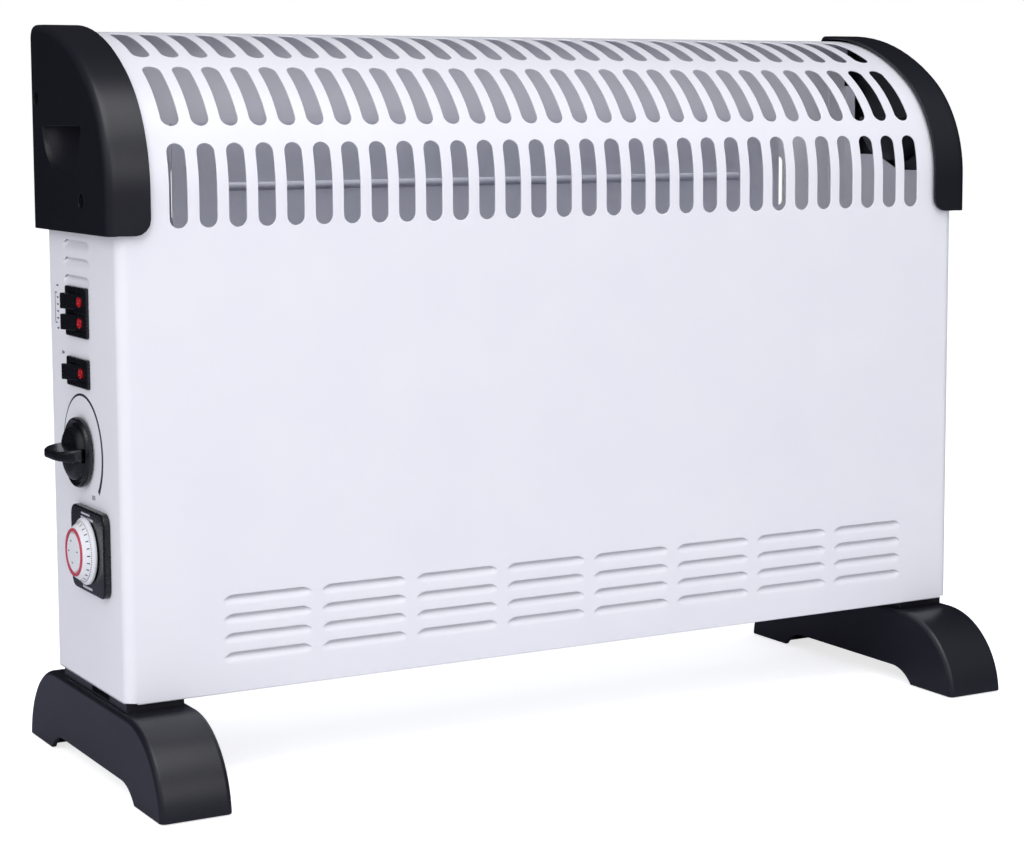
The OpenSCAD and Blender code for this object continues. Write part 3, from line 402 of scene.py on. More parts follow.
def bend_tree():
    """Bends a flat sheet over two tangent arcs: X stays, Y runs up along the sheet and Z stands out from it."""
    tree, given = geometry_tree("Bend Sheet", [
        ("Lower Radius", "Float"), ("Lower Turn", "Float"), ("Upper Radius", "Float"), ("Shoulder Height", "Float"),
        ("Front", "Float"), ("Middle", "Float"), ("Finish", "Material")])
    place = add(tree, "ShaderNodeSeparateXYZ", {0: add(tree, "GeometryNodeInputPosition")})
    known = {label: given[label] for label in ("Lower Radius", "Lower Turn", "Upper Radius", "Shoulder Height",
                                               "Front", "Middle")}
    known.update(across=place.outputs[0], along=place.outputs[1], out=place.outputs[2])
    steps = [
        ("lower length", "MULTIPLY", "Lower Radius", "Lower Turn"),
        ("upper turn", "SUBTRACT", math.pi / 2, "Lower Turn"),
        ("upper length", "MULTIPLY", "Upper Radius", "upper turn"),
        ("on front", "MINIMUM", "along", 0.0),
        ("from shoulder", "MAXIMUM", "along", 0.0),
        ("on lower", "MINIMUM", "from shoulder", "lower length"),
        ("past lower", "SUBTRACT", "from shoulder", "on lower"),
        ("on upper", "MINIMUM", "past lower", "upper length"),
        ("on top", "SUBTRACT", "past lower", "on upper"),
        ("lower angle", "DIVIDE", "on lower", "Lower Radius"),
        ("upper angle", "DIVIDE", "on upper", "Upper Radius"),
        ("angle", "ADD", "lower angle", "upper angle"),
        ("end angle", "ADD", "Lower Turn", "upper angle"),
        ("sine", "SINE", "angle"), ("cosine", "COSINE", "angle"),
        ("lower sine", "SINE", "lower angle"), ("lower cosine", "COSINE", "lower angle"),
        ("turn sine", "SINE", "Lower Turn"), ("turn cosine", "COSINE", "Lower Turn"),
        ("end sine", "SINE", "end angle"), ("end cosine", "COSINE", "end angle"),
        ("back 1", "SUBTRACT", 1.0, "lower cosine"), ("back 2", "MULTIPLY", "back 1", "Lower Radius"),
        ("back 3", "SUBTRACT", "turn cosine", "end cosine"), ("back 4", "MULTIPLY", "back 3", "Upper Radius"),
        ("back 5", "ADD", "back 2", "back 4"), ("back 6", "ADD", "back 5", "on top"),
        ("back 7", "ADD", "back 6", "Front"), ("out back", "MULTIPLY", "out", "cosine"),
        ("y", "SUBTRACT", "back 7", "out back"),
        ("up 1", "MULTIPLY", "lower sine", "Lower Radius"), ("up 2", "SUBTRACT", "end sine", "turn sine"),
        ("up 3", "MULTIPLY", "up 2", "Upper Radius"), ("up 4", "ADD", "up 1", "up 3"),
        ("up 5", "ADD", "up 4", "on front"), ("up 6", "ADD", "up 5", "Shoulder Height"),
        ("out up", "MULTIPLY", "out", "sine"), ("z", "ADD", "up 6", "out up"), ("x", "ADD", "across", "Middle"),
    ]
    for name, operation, *terms in steps:
        values = {i: known.get(term, term) for i, term in enumerate(terms)}
        known[name] = add(tree, "ShaderNodeMath", values, operation=operation)
    spot = add(tree, "ShaderNodeCombineXYZ", {0: known["x"], 1: known["y"], 2: known["z"]})
    bent = add(tree, "GeometryNodeSetPosition", {"Geometry": given["Geometry"], "Position": spot})
    return ended(tree, bent, given["Finish"])


def fixing_tree():
    """One fixing on each point, its head turned by a random amount and its axis set by Turn."""
    tree, given = geometry_tree("Fixings", [("Fixing", "Object"), ("Turn", "Vector"), ("Seed", "Int"),
                                            ("Finish", "Material")])
    spin = add(tree, "FunctionNodeRandomValue", {2: 0.0, 3: math.tau, "Seed": given["Seed"]})
    about = add(tree, "ShaderNodeCombineXYZ", {2: spin.outputs[1]})
    fixing = add(tree, "GeometryNodeObjectInfo", {"Object": given["Fixing"]})
    heads = add(tree, "GeometryNodeInstanceOnPoints", {"Points": given["Geometry"], "Rotation": given["Turn"],
                                                       "Instance": fixing.outputs["Geometry"]})
    spun = add(tree, "GeometryNodeRotateInstances", {0: heads, "Rotation": about, "Local Space": True})
    return ended(tree, spun, given["Finish"])


# ---- Casing


def mm(value):
    """A stored size in millimetres."""
    return round(value / MM, 4)


def slot_outline(width, length):
    """Half widths and heights along a stadium slot, from its lower tip to its upper tip."""
    r, half = width / 2, (length - width) / 2
    arc = [(r * math.cos(math.radians(a)), r * math.sin(math.radians(a))) for a in np.linspace(0, 90, 9)[1:]]
    straight = [(r, s) for s in np.linspace(-half, half, 13)]
    lower = [(w, -half - s) for w, s in reversed(arc)]
    upper = [(w, half + s) for w, s in arc]
    return [(0.0 if w < 1e-6 else w, s) for w, s in lower + straight + upper]


def slot_levels(width, length, row):
    """Heights of the edges of one slot cell, from its lower to its upper border."""
    ring = [s for _, s in slot_outline(width, length)]
    return [-row / 2, (-row / 2 + ring[0]) / 2] + ring + [(row / 2 + ring[-1]) / 2, row / 2]


def sheet(u0, u1, v0, v1):
    """Flat rectangle of sheet."""
    return [(u0, v0, 0), (u1, v0, 0), (u1, v1, 0), (u0, v1, 0)]


def slot_cell(pitch, row, width, length):
    """Flat cell of the outlet grille: a rectangle of sheet around one slot."""
    ring = slot_outline(width, length)
    p = pitch / 2
    faces = []
    for (w0, s0), (w1, s1) in zip(ring, ring[1:]):
        faces.append([(-p, s0, 0), (-w0, s0, 0), (-w1, s1, 0), (-p, s1, 0)])
        faces.append([(w0, s0, 0), (p, s0, 0), (p, s1, 0), (w1, s1, 0)])
    levels = slot_levels(width, length, row)
    for s0, s1 in list(zip(levels[:2], levels[1:3])) + list(zip(levels[-3:-1], levels[-2:])):
        faces += [sheet(-p, 0, s0, s1), sheet(0, p, s0, s1)]
    return faces


def louvre_columns(length, step):
    """Distances across one louvre cell, closer together near the louvre's ends."""
    half = length / 2
    near = [half - d for d in (0, 0.6, 1.4, 2.4, 3.6, 5.0)]
    inner = list(np.linspace(5.0 - half, half - 5.0, 7))[1:-1]
    return [-step / 2] + [-v for v in near] + inner + near[::-1] + [step / 2]


def louvre_cell(length, step, high, deep, below, above):
    """Flat cell of an inlet: a slit with the sheet below it pressed inward, its ends curved down."""
    columns = louvre_columns(length, step)

    def press(u):
        """Share of the full depth, which fades over the last 5 mm."""
        return math.sin(math.pi / 2 * max(0.0, min(1.0, (length / 2 - abs(u)) / 5.0)))

    def edge(u):
        """Upper edge of the slit."""
        return -2.4 * (1 - press(u))

    def flap(u, t):
        """Pressed sheet, from its fold at 0 to its free edge at 1."""
        top = edge(u) - 1.1 * press(u)
        return (u, -high + t * (top + high), -deep * press(u) * (1 - math.cos(t * math.pi / 2)))

    def lip(u):
        """Edge of the pressed sheet, turned up behind the slit."""
        _, s, d = flap(u, 1)
        return (u, s + 1.25 * press(u), d)

    rows = [0, 0.3, 0.55, 0.8, 1.0]
    faces = []
    for a, b in zip(columns[1:-2], columns[2:-1]):
        faces.append([(a, -high - below, 0), (b, -high - below, 0), flap(b, 0), flap(a, 0)])
        for t0, t1 in zip(rows, rows[1:]):
            faces.append([flap(a, t0), flap(b, t0), flap(b, t1), flap(a, t1)])
        faces.append([flap(a, 1), flap(b, 1), lip(b), lip(a)])
        faces.append([(a, edge(a), 0), (b, edge(b), 0), (b, above, 0), (a, above, 0)])
    for side, u in ((-1, columns[1]), (1, columns[-2])):
        far = side * step / 2
        face = [(far, -high - below, 0), (u, -high - below, 0)] + [flap(u, t) for t in rows]
        face += [(u, above, 0), (far, above, 0)]
        faces.append(face if side < 0 else face[::-1])
    return faces


def pattern(name, tree, cell_faces, columns, rows, column_step, row_step, first_column, first_row):
    """Polygons, in millimetres, of a cell repeated by the pattern tree."""
    cell = drawn(name + "_cell", cell_faces)
    mesh = grown(name, tree, {"Cell": cell, "Columns": columns, "Rows": rows, "Column Step": column_step * MM,
                              "Row Step": row_step * MM, "First Column": first_column * MM,
                              "First Row": first_row * MM, "Finish": FINISHES["white_paint"]})
    bpy.data.objects.remove(cell)
    return polygons_of(mesh)


def band(rows):
    """Strips between rows of points of equal count."""
    return [[near[i], near[i + 1], far[i + 1], far[i]] for near, far in zip(rows, rows[1:])
            for i in range(len(near) - 1)]


def tube(rings):
    """Strips between closed rings of equal count, facing outward when the rings rise anticlockwise."""
    return band([list(ring) + [ring[0]] for ring in rings])


def polygons_of(mesh):
    """Corners of a mesh's faces, in millimetres."""
    spots = [tuple(v.co / MM) for v in mesh.vertices]
    return [[spots[i] for i in face.vertices] for face in mesh.polygons]


def chain(values, low, high):
    """The values between low and high, both of them included, in rising order."""
    inner = {round(v, 4) for v in values if low + 0.01 < v < high - 0.01}
    return [low] + sorted(inner) + [high]


def casing_curve(sizes):
    """Shoulder height, lower radius, lower turn and upper radius of the curved top."""
    lower, turn = mm(sizes.lower_radius), sizes.lower_turn
    # The curves end 1.25 mm before the back, where the rim bends down
    return mm(sizes.shoulder), lower, turn, lower + (BACK - 1.25 - FRONT - lower) / math.cos(turn)


def make_casing(sizes, cap_low):
    """The folded casing: slots and louvres from the pattern tree, bent over the top by the bend tree."""
    shoulder, lower_r, turn, upper_r = casing_curve(sizes)
    pitch, width, length = mm(sizes.slot_pitch), mm(sizes.slot_width), mm(sizes.slot_length)
    row, first = mm(sizes.row_pitch), mm(sizes.first_row)
    step, span, deep = mm(sizes.louvre_step), mm(sizes.louvre_length), mm(sizes.louvre_depth)
    # Outside radius of the upright bends at the front
    bend = 6.0
    high, rise = mm(sizes.louvre_band), mm(sizes.louvre_pitch)
    # Lower end of the rear rim, and the tab under the rear cap screw
    rim_low, tab_y, tab_z = TOP - 15, BACK - 9, TOP - 27.4
    columns = sizes.slot_columns
    edge_u = columns * pitch / 2
    grid, bender = pattern_tree(), bend_tree()

    # Flat sheet above the first slots' lower border, patterns included, then bent in one go
    faces = pattern("slots", grid, slot_cell(pitch, row, width, length), columns, 3, pitch, row,
                    pitch / 2 - edge_u, first)
    levels = [round(first + k * row + s, 5) for k in range(3) for s in slot_levels(width, length, row)[k > 0 :]]
    low_flat, wide_from = levels[0], levels[2]
    for s0, s1 in zip(levels, levels[1:]):
        out = SIDE if s0 >= wide_from - 1e-6 else SIDE - bend
        for a, b in ((-out, -edge_u), (edge_u, out)):
            face = sheet(a, b, s0, s1)
            if abs(s0 - wide_from) < 1e-6:
                face.insert(1, ((bend - SIDE) if a < 0 else (SIDE - bend), s0, 0))
            faces.append(face)
    slot_u = [round(-edge_u + i * pitch / 2, 5) for i in range(2 * columns + 1)]
    across = [-SIDE] + slot_u + [SIDE]
    arc_end = lower_r * turn + upper_r * (math.pi / 2 - turn)
    top_levels = [levels[-1]] + [levels[-1] + (arc_end - levels[-1]) * k / 4 for k in (1, 2, 3, 4)] + [arc_end + 0.25]
    faces += band([[(u, s, 0) for u in across] for s in top_levels])
    flat = drawn("flat_sheet", faces)
    bent = grown("bent_sheet", bender, {"Lower Radius": lower_r * MM, "Lower Turn": turn,
                                        "Upper Radius": upper_r * MM, "Shoulder Height": shoulder * MM,
                                        "Front": FRONT * MM, "Middle": 0.0, "Finish": FINISHES["white_paint"]},
                 flat.data)
    bpy.data.objects.remove(flat)
    faces = polygons_of(bent)

    # Front below the slots: louvres, with plain sheet around them
    below, above = 2.1, 2.1  # plain sheet below and above each louvre
    slit = mm(sizes.louvre_height)
    louvre_low = slit - high - below
    first_u = mm(sizes.louvre_left) - SIDE - (step - span) / 2
    grid_faces = pattern("louvres", grid, louvre_cell(span, step, high, deep, below, above), sizes.louvre_groups,
                         4, step, rise, first_u + step / 2, slit)
    faces += [[(u, FRONT - d, s) for u, s, d in face] for face in grid_faces]
    louvre_high = louvre_low + 4 * rise
    last_u = first_u + sizes.louvre_groups * step
    louvre_u = [first_u + step / 2 + g * step + u for g in range(sizes.louvre_groups)
                for u in louvre_columns(span, step)]
    top_z = shoulder + low_flat
    cap_z = shoulder + wide_from
    # Openings in the left side wall: front, rear, lower and upper edge. The last one holds three louvres
    vent_cell, vent_pitch, vent_y, vent_z, vent_below, vent_above = 44.0, 9.0, 9.0, 257.4, 0.9, 2.5
    vent_length = vent_cell - 4
    half_frame = (31 - 2.8) / 2
    gaps = {"timer": (-30.5, 12.5, 101.0, 138.0), "knob": (0.1, 9.9, 163.1, 172.9),
            "single": (6.5 - half_frame, 6.5 + half_frame, 202.4, 214.6),
            "double": (6.5 - half_frame, 6.5 + half_frame, 227.85, 250.75),
            "vents": (vent_y - vent_cell / 2, vent_y + vent_cell / 2, vent_z - high - vent_below,
                      vent_z + 2 * vent_pitch + vent_above)}
    y_lines = [vent_y + u for u in louvre_columns(vent_length, vent_cell)]
    y_lines = chain(y_lines + [g[i] for g in gaps.values() for i in (0, 1)], FRONT + bend, BACK - 2)
    z_lines = [vent_z + vent_above + vent_pitch * k for k in (0, 1)] + [louvre_low, louvre_high, top_z]
    z_lines = chain(z_lines + [shoulder + levels[1]] + [g[i] for g in gaps.values() for i in (2, 3)], BASE + 1, cap_z)

    def front_plate(bottom, top, low, high):
        """One flat plate of the front between two rows of points."""
        left = [z for z in z_lines if low + 0.01 < z < high - 0.01]
        face = [(u, FRONT, low) for u in bottom] + [(bottom[-1], FRONT, z) for z in left if bottom[-1] > inner - 1]
        face += [(u, FRONT, high) for u in reversed(top)]
        face += [(bottom[0], FRONT, z) for z in reversed(left) if bottom[0] < 1 - inner]
        return face

    inner = SIDE - bend
    faces.append(front_plate([-inner, inner], chain(louvre_u, -inner, inner), BASE + 1, louvre_low))
    rises = [louvre_low + rise * k for k in (1, 2, 3)]
    between = [z for z in z_lines if louvre_low + 0.01 < z < louvre_high - 0.01]
    faces.append([(-inner, FRONT, louvre_low), (first_u, FRONT, louvre_low)] + [(first_u, FRONT, z) for z in rises]
                 + [(first_u, FRONT, louvre_high), (-inner, FRONT, louvre_high)]
                 + [(-inner, FRONT, z) for z in reversed(between)])
    faces.append([(last_u, FRONT, louvre_low), (inner, FRONT, louvre_low)] + [(inner, FRONT, z) for z in between]
                 + [(inner, FRONT, louvre_high), (last_u, FRONT, louvre_high)]
                 + [(last_u, FRONT, z) for z in reversed(rises)])
    faces.append(front_plate(chain(louvre_u, -inner, inner), chain(slot_u, -inner, inner), louvre_high, top_z))
    # Lower edge: a small bend and a flange below the front
    profile = [(12, 0), (1, 0), (0.3, 0.3), (0, 1)]
    faces += band([[(u, FRONT + d, BASE + h) for u in (-inner, inner)] for d, h in profile])[::-1]

    # Upright bends at the front and at the rear, from behind forward as seen on the left side
    quarter = np.linspace(math.pi / 2, 0, 7)
    turns = [(bend - SIDE - bend * math.sin(a), FRONT + bend - bend * math.cos(a)) for a in quarter]
    rear = [(14 - SIDE, BACK)] + [(2 - SIDE - 2 * math.cos(a), BACK - 2 + 2 * math.sin(a)) for a in quarter[::2]]
    strips = [(ring, z0, z1) for z0, z1 in zip(z_lines, z_lines[1:]) for ring in (turns, rear)]
    side_faces = []
    for ring, z0, z1 in strips + [(rear, cap_z, tab_z), (rear[:2], tab_z, rim_low)]:
        side_faces += band([[(x, y, z) for x, y in ring] for z in (z0, z1)])[::-1]
    # Inside the caps the side walls end in a slanted edge
    edge = ((FRONT + bend, cap_low + 23), (0, cap_low + 23), (20, cap_low + 32), (tab_y, cap_low + 32),
            (tab_y, tab_z), (BACK - 2, tab_z))
    side_faces.append([(-SIDE, y, cap_z) for y in reversed(y_lines)] + [(-SIDE, y, z) for y, z in edge])
    side_faces += band([[(d - SIDE, y, BASE + h) for y in (BACK - 2, FRONT + bend)] for d, h in profile])[::-1]
    right = [[(-x, y, z) for x, y, z in reversed(face)] for face in side_faces]
    for y0, y1 in zip(y_lines, y_lines[1:]):
        for z0, z1 in zip(z_lines, z_lines[1:]):
            ym, zm = (y0 + y1) / 2, (z0 + z1) / 2
            wall = [(-SIDE, y1, z0), (-SIDE, y0, z0), (-SIDE, y0, z1), (-SIDE, y1, z1)]
            right.append([(-x, y, z) for x, y, z in reversed(wall)])
            if not any(g[0] < ym < g[1] and g[2] < zm < g[3] for g in gaps.values()):
                side_faces.append(wall)
    cell = louvre_cell(vent_length, vent_cell, high, deep, vent_below, vent_above)
    vents = pattern("vents", grid, cell, 1, 3, vent_cell, vent_pitch, 0.0, vent_z)
    side_faces += [[(-SIDE - d, vent_y - u, s) for u, s, d in face] for face in vents]
    # Rear edge of the top, bent down behind the slots
    top = max(p[2] for f in faces for p in f)
    rim = [(BACK - 1, top), (BACK - 0.3, top - 0.27), (BACK, top - 1), (BACK, rim_low)]
    faces += band([[(u, y, z) for u in across] for y, z in rim])
    points, indices = welded(faces + side_faces + right, 3)
    piece = placed("casing_sheet", points, indices, "white_paint")
    smoothed(piece, 0.22, 2, 50, wall_mm=0.8)
    return settle(piece, "front_casing")


# ---- End caps


def cap_outline(sizes, inset, curve):
    """Outline of an end cap in Y and Z, from its lower front corner over the top to its lower rear corner."""
    shoulder, lower_r, turn, upper_r = curve
    over, low = mm(sizes.over), mm(sizes.low)
    r1, r2 = lower_r + over - inset, upper_r + over - inset
    c1 = (FRONT + lower_r, shoulder)
    c2 = (c1[0] + (upper_r - lower_r) * math.cos(turn), shoulder - (upper_r - lower_r) * math.sin(turn))
    f, b, top = FRONT - over + inset, BACK + mm(sizes.rear) - inset, c2[1] + r2
    rise = [low + d for d in (0, 0.6, 2.3, 4.9, 8.0)]
    points = [(f, z) for z in rise] + [(f, low + 8 + (shoulder - low - 8) * k / 3) for k in (1, 2)]
    points += [(c1[0] - r1 * math.cos(a), c1[1] + r1 * math.sin(a)) for a in np.linspace(0, turn, 15)]
    points += [(c2[0] - r2 * math.cos(a), c2[1] + r2 * math.sin(a)) for a in np.linspace(turn, math.pi / 2, 13)[1:-1]]
    points += [(b - 4 + 4 * math.sin(a), top - 4 + 4 * math.cos(a)) for a in np.linspace(0, math.pi / 2, 5)]
    points += [(b, low + 8 + (top - 4 - low - 8) * k / 4) for k in (3, 2, 1)] + [(b, z) for z in reversed(rise)]
    return points


def cap_bolts(sizes):
    """Depth and height of the two screws of a cap."""
    return (-18.0, mm(sizes.low) + 16), (48.0, TOP - 34.4)


def make_cap(sizes, curve, mirrored):
    """An end cap: a soft-edged shell with a finger recess and two countersunk screw holes."""
    low = mm(sizes.low)
    reach, soft = mm(sizes.reach), mm(sizes.soft)
    x_out, x_in = -SIDE - reach, -SIDE + mm(sizes.overlap)
    rings = [[(x_out + soft * (1 - math.sin(a)), y, z) for y, z in cap_outline(sizes, soft * (1 - math.cos(a)), curve)]
             for a in np.linspace(math.pi / 2, 0, 6)]
    outline = cap_outline(sizes, 0, curve)
    seat = -SIDE - 0.3
    rings.append([(seat, y, z) for y, z in outline])
    for share in (0.5, 1.0):
        ring = []
        for y, z in outline:
            lift = 8 - (z - low) if z < low + 8 else 0.0
            end = x_in - 8 + math.sqrt(max(0.0, 64 - lift * lift))
            ring.append((seat + share * (end - seat), y, z))
        rings.append(ring)
    faces = [face[::-1] for face in band(rings)]
    # Ledge below, from the end wall to the casing's side
    faces.append([ring[0] for ring in rings[6::-1]] + [ring[-1] for ring in rings[:7]])

    # Finger recess: a bowl that deepens to a flat ceiling
    grip_y, grip_z, deep = mm(sizes.grip_y), mm(sizes.grip_top), mm(sizes.grip_depth)
    half, high = mm(sizes.grip_half), mm(sizes.grip_high)

    def bowl(angle, share):
        """Point of the recess by its direction and its share of the way from the middle to the rim."""
        depth = deep * math.sqrt(max(0.0, 1 - share**2.6))
        return (x_out + depth, grip_y + half * share * math.cos(angle), grip_z - high * share * math.sin(angle))

    angles = list(np.linspace(0, math.pi, 25))
    shares = [1.0, 0.985, 0.94, 0.86, 0.74, 0.58, 0.4, 0.2]
    faces += band([[bowl(a, s) for a in angles] for s in shares])
    centre = bowl(0, 0)
    for a0, a1 in zip(angles, angles[1:]):
        faces.append([bowl(a0, shares[-1]), bowl(a1, shares[-1]), centre])
    faces.append([bowl(0, s) for s in shares] + [centre] + [bowl(math.pi, s) for s in reversed(shares)])
    rim = [bowl(a, 1.0) for a in angles]
    holes = [rim]
    for place in cap_bolts(sizes):
        edge, floor = ([(x, y, z) for y, z in circle(3.6, 24, place)] for x in (x_out, x_out + 2))
        holes.append(edge)
        faces += tube([floor, edge]) + [floor[::-1]]
    faces += filled([rings[0]] + holes)
    if mirrored:
        faces = [[(-x, y, z) for x, y, z in face] for face in faces]
    name = "right_end_cap" if mirrored else "left_end_cap"
    return fitted(name, faces, 0.4, 3, 40, 1.9, "_shell")


# ---- Mouldings


def on_side(y, z, faces):
    """Faces drawn with X up, Y back and Z outward, moved onto the left side wall."""
    return [[(-SIDE - c, y + b, z + a) for a, b, c in face] for face in faces]


def rounded(width, height, radius, count=6):
    """Outline of a rectangle with round corners, anticlockwise."""
    points = []
    for k, (x, y) in enumerate(((1, 1), (-1, 1), (-1, -1), (1, -1))):
        for a in np.linspace(0, math.pi / 2, count + 1):
            t = a + k * math.pi / 2
            points.append((x * (width / 2 - radius) + radius * math.cos(t),
                           y * (height / 2 - radius) + radius * math.sin(t)))
    return points


def circle(radius, count=48, middle=(0.0, 0.0)):
    """Points of a circle, anticlockwise."""
    return [(middle[0] + radius * math.cos(math.tau * i / count), middle[1] + radius * math.sin(math.tau * i / count))
            for i in range(count)]


def at_height(outline, z):
    """Flat outline put at a height."""
    return [(x, y, z) for x, y in outline]


def turned(profile, count=64):
    """Solid of revolution about Z from pairs of radius and height, from the lowest point to the highest."""
    return tube([at_height(circle(radius, count), z) for radius, z in profile])


def moulded(name, faces, finish_name, width_mm=0.0, segments=2, angle=35, wall_mm=0.0):
    """Finished piece from polygons in millimetres, its faces turned outward and its edges rounded."""
    points, indices = welded(faces, 3)
    piece = placed(name, points, indices, finish_name)
    outward(piece.data)
    return smoothed(piece, width_mm, segments, angle, wall_mm)


def fitted(node, faces, width_mm=0.0, segments=2, angle=35, wall_mm=0.0, ending="_moulding"):
    """Finished piece that stands for a node and has the finish of its slot."""
    return settle(moulded(node + ending, faces, SLOT_OF[node], width_mm, segments, angle, wall_mm), node)


def foot_faces(sizes, middle):
    """Skin of a foot: a flat beam with a quarter circle at each end, soft upper edges and two closed soles."""
    half, soft, radius = mm(sizes.width) / 2, mm(sizes.soft), mm(sizes.radius)
    hub, arch, rise = mm(sizes.hub), mm(sizes.arch), mm(sizes.rise)
    # Height of the soles' plastic, drop of the round ends' centre, inner edge of a sole, run of the arch's ends
    floor, drop, sole, run = 0.8, -2.0, arch + 16.0, 18.0
    bow = (run * run + rise * rise) / (2 * rise)

    def profile(inset):
        """Upper line of the foot, drawn in by an inset."""
        r = radius - inset
        end = math.acos((floor - drop) / r)
        arc = [(hub + r * math.sin(a), drop + r * math.cos(a)) for a in np.linspace(0, end, 25)]
        return [(-y, z) for y, z in reversed(arc)] + arc

    arc_end = math.acos((floor - rise + bow) / bow)
    arc = [(arch + bow * math.sin(a), rise - bow + bow * math.cos(a)) for a in np.linspace(0, arc_end, 9)]
    lower = [(-y, z) for y, z in reversed(arc)] + arc
    lower = [(-sole - 8, floor)] + lower + [(sole + 8, floor)]
    faces = []
    rounds = np.linspace(0, math.pi / 2, 6)
    for sign in (-1, 1):
        strips = [[(middle + sign * (half - soft + soft * math.cos(a)), y, z)
                   for y, z in profile(soft * (1 - math.sin(a)))] for a in rounds]
        faces += band(strips)
        wall = strips[0] + [(middle + sign * half, y, z) for y, z in reversed(lower)]
        faces += filled([wall])
        if sign < 0:
            top = strips[-1]
        else:
            faces += band([top, strips[-1]])
    for end in (-1, 1):
        y_in = end * (sole + 8)
        rim = [(middle + s * (half - soft + soft * math.cos(a)), end * profile(soft * (1 - math.sin(a)))[-1][0],
                floor) for s, turns in ((-1, rounds), (1, rounds[::-1])) for a in turns]
        faces.append([(middle - half, y_in, floor)] + rim + [(middle + half, y_in, floor)])
    return faces


def collar_faces(sizes, middle, outer):
    """Low block between a foot and the casing, with a slot in its outer side."""
    low, high = mm(sizes.radius) - 3.0, BASE
    out, inner = middle + outer * (mm(sizes.width) / 2 - 3), middle - outer * (mm(sizes.width) / 2 - 4)
    front, back = -47.0, 47.0
    y0, y1, z0, z1 = -22.0, 4.0, low + 1.9, low + 4.5

    def wall(x, ya, yb, za, zb):
        """Rectangle square to X."""
        return [(x, ya, za), (x, yb, za), (x, yb, zb), (x, ya, zb)]

    faces = [wall(inner, front, back, low, high)]
    for a, b in ((front, y0), (y0, y1), (y1, back)):
        for c, d in ((low, z0), (z0, z1), (z1, high)):
            if (a, c) != (y0, z0):
                faces.append(wall(out, a, b, c, d))
    deep = out - outer * 2.6
    faces.append(wall(deep, y0, y1, z0, z1))
    for z in (z0, z1):
        faces.append([(out, y0, z), (out, y1, z), (deep, y1, z), (deep, y0, z)])
    for y in (y0, y1):
        faces.append([(out, y, z0), (out, y, z1), (deep, y, z1), (deep, y, z0)])
    for z in (low, high):
        faces.append([(out, y, z) for y in (front, y0, y1, back)] + [(inner, back, z), (inner, front, z)])
    for y in (front, back):
        faces.append([(out, y, z) for z in (low, z0, z1, high)] + [(inner, y, high), (inner, y, low)])
    return faces


def frame_faces(height, length, cells):
    """Switch frame: a plate with a soft edge, open wells for the rockers and a closed body behind the sheet."""
    body = rounded(height - 3.2, length - 3.2, 0.6)
    rings = [at_height(body, -16), at_height(body, 0)]
    rings += [at_height(rounded(height - 2 * i, length - 2 * i, max(1.2 - i, 0.4)), z)
              for i, z in ((0, 0), (0, 1.25), (0.12, 1.65), (0.42, 1.93), (0.8, 2.0))]
    faces = tube(rings) + [at_height(body, -16)[::-1]]
    wells = [[(x + 4.35, 13.0), (x - 4.35, 13.0), (x - 4.35, -13.0), (x + 4.35, -13.0)] for x in cells]
    faces += filled([rings[-1]] + [at_height(well, 2.0) for well in wells])
    for well in wells:
        faces += tube([at_height(well[::-1], z) for z in (2.0, -11.0)]) + [at_height(well, -11.0)]
    return faces


def rocker_faces(lens_at, lens_r):
    """Rocker about its pivot: two flat halves that meet in a shallow V, a round back and a seat for the lens."""
    r, half = 12.6, 4.0

    def slope(b):
        """Height of the rocker's face."""
        return 2.7 + 0.16 * abs(b)

    end = 12.15
    arc = [(r * math.sin(a), r * math.cos(a)) for a in np.linspace(math.atan2(end, slope(end)), 2.113, 12)]
    outline = [(0.0, 2.7)] + arc
    outline += [(-b, c) for b, c in reversed(arc)]
    faces = []
    for s in (-1, 1):
        face = [(s * half, b, c) for b, c in outline]
        faces.append(face if s < 0 else face[::-1])
    for (b0, c0), (b1, c1) in zip(outline, outline[1:] + outline[:1]):
        if b0 < -1 and c0 > 2.7 and b1 > -1:
            continue
        faces.append([(-half, b0, c0), (-half, b1, c1), (half, b1, c1), (half, b0, c0)])
    lift = math.cos(math.atan(0.16))
    seat = [(x, lens_at + y * lift) for x, y in circle(lens_r + 0.15, 32)]
    quad = [(-half, -arc[0][0]), (half, -arc[0][0]), (half, 0.0), (-half, 0.0)]
    faces += filled([[(x, b, slope(b)) for x, b in quad], [(x, b, slope(b)) for x, b in seat]])
    rings = [[(x, b, slope(b) - d) for x, b in reversed(seat)] for d in (0, 1.4)]
    faces += tube(rings) + [rings[1][::-1]]
    return faces


def leaned(faces, angle, pivot=0.0):
    """Faces tipped about the X axis, with the rear going outward."""
    sine, cosine = math.sin(angle), math.cos(angle)
    return [[(x, y * cosine - z * sine, pivot + y * sine + z * cosine) for x, y, z in face] for face in faces]


def lens_faces(lens_at, lens_r):
    """Round lens in a rocker's front half: a raised rim round a shallow dish."""
    profile = [(0, -1.3), (lens_r, -1.3), (lens_r, 0.2), (lens_r - 0.2, 0.55), (lens_r - 0.55, 0.68),
               (lens_r - 0.9, 0.5), (lens_r - 1.1, 0.1), (lens_r - 1.3, -0.5), (0, -0.6)]
    faces = leaned(turned(profile, 40), math.radians(-9.1))
    return [[(x, y + lens_at, z + 2.7 - 0.16 * lens_at) for x, y, z in face] for face in faces]


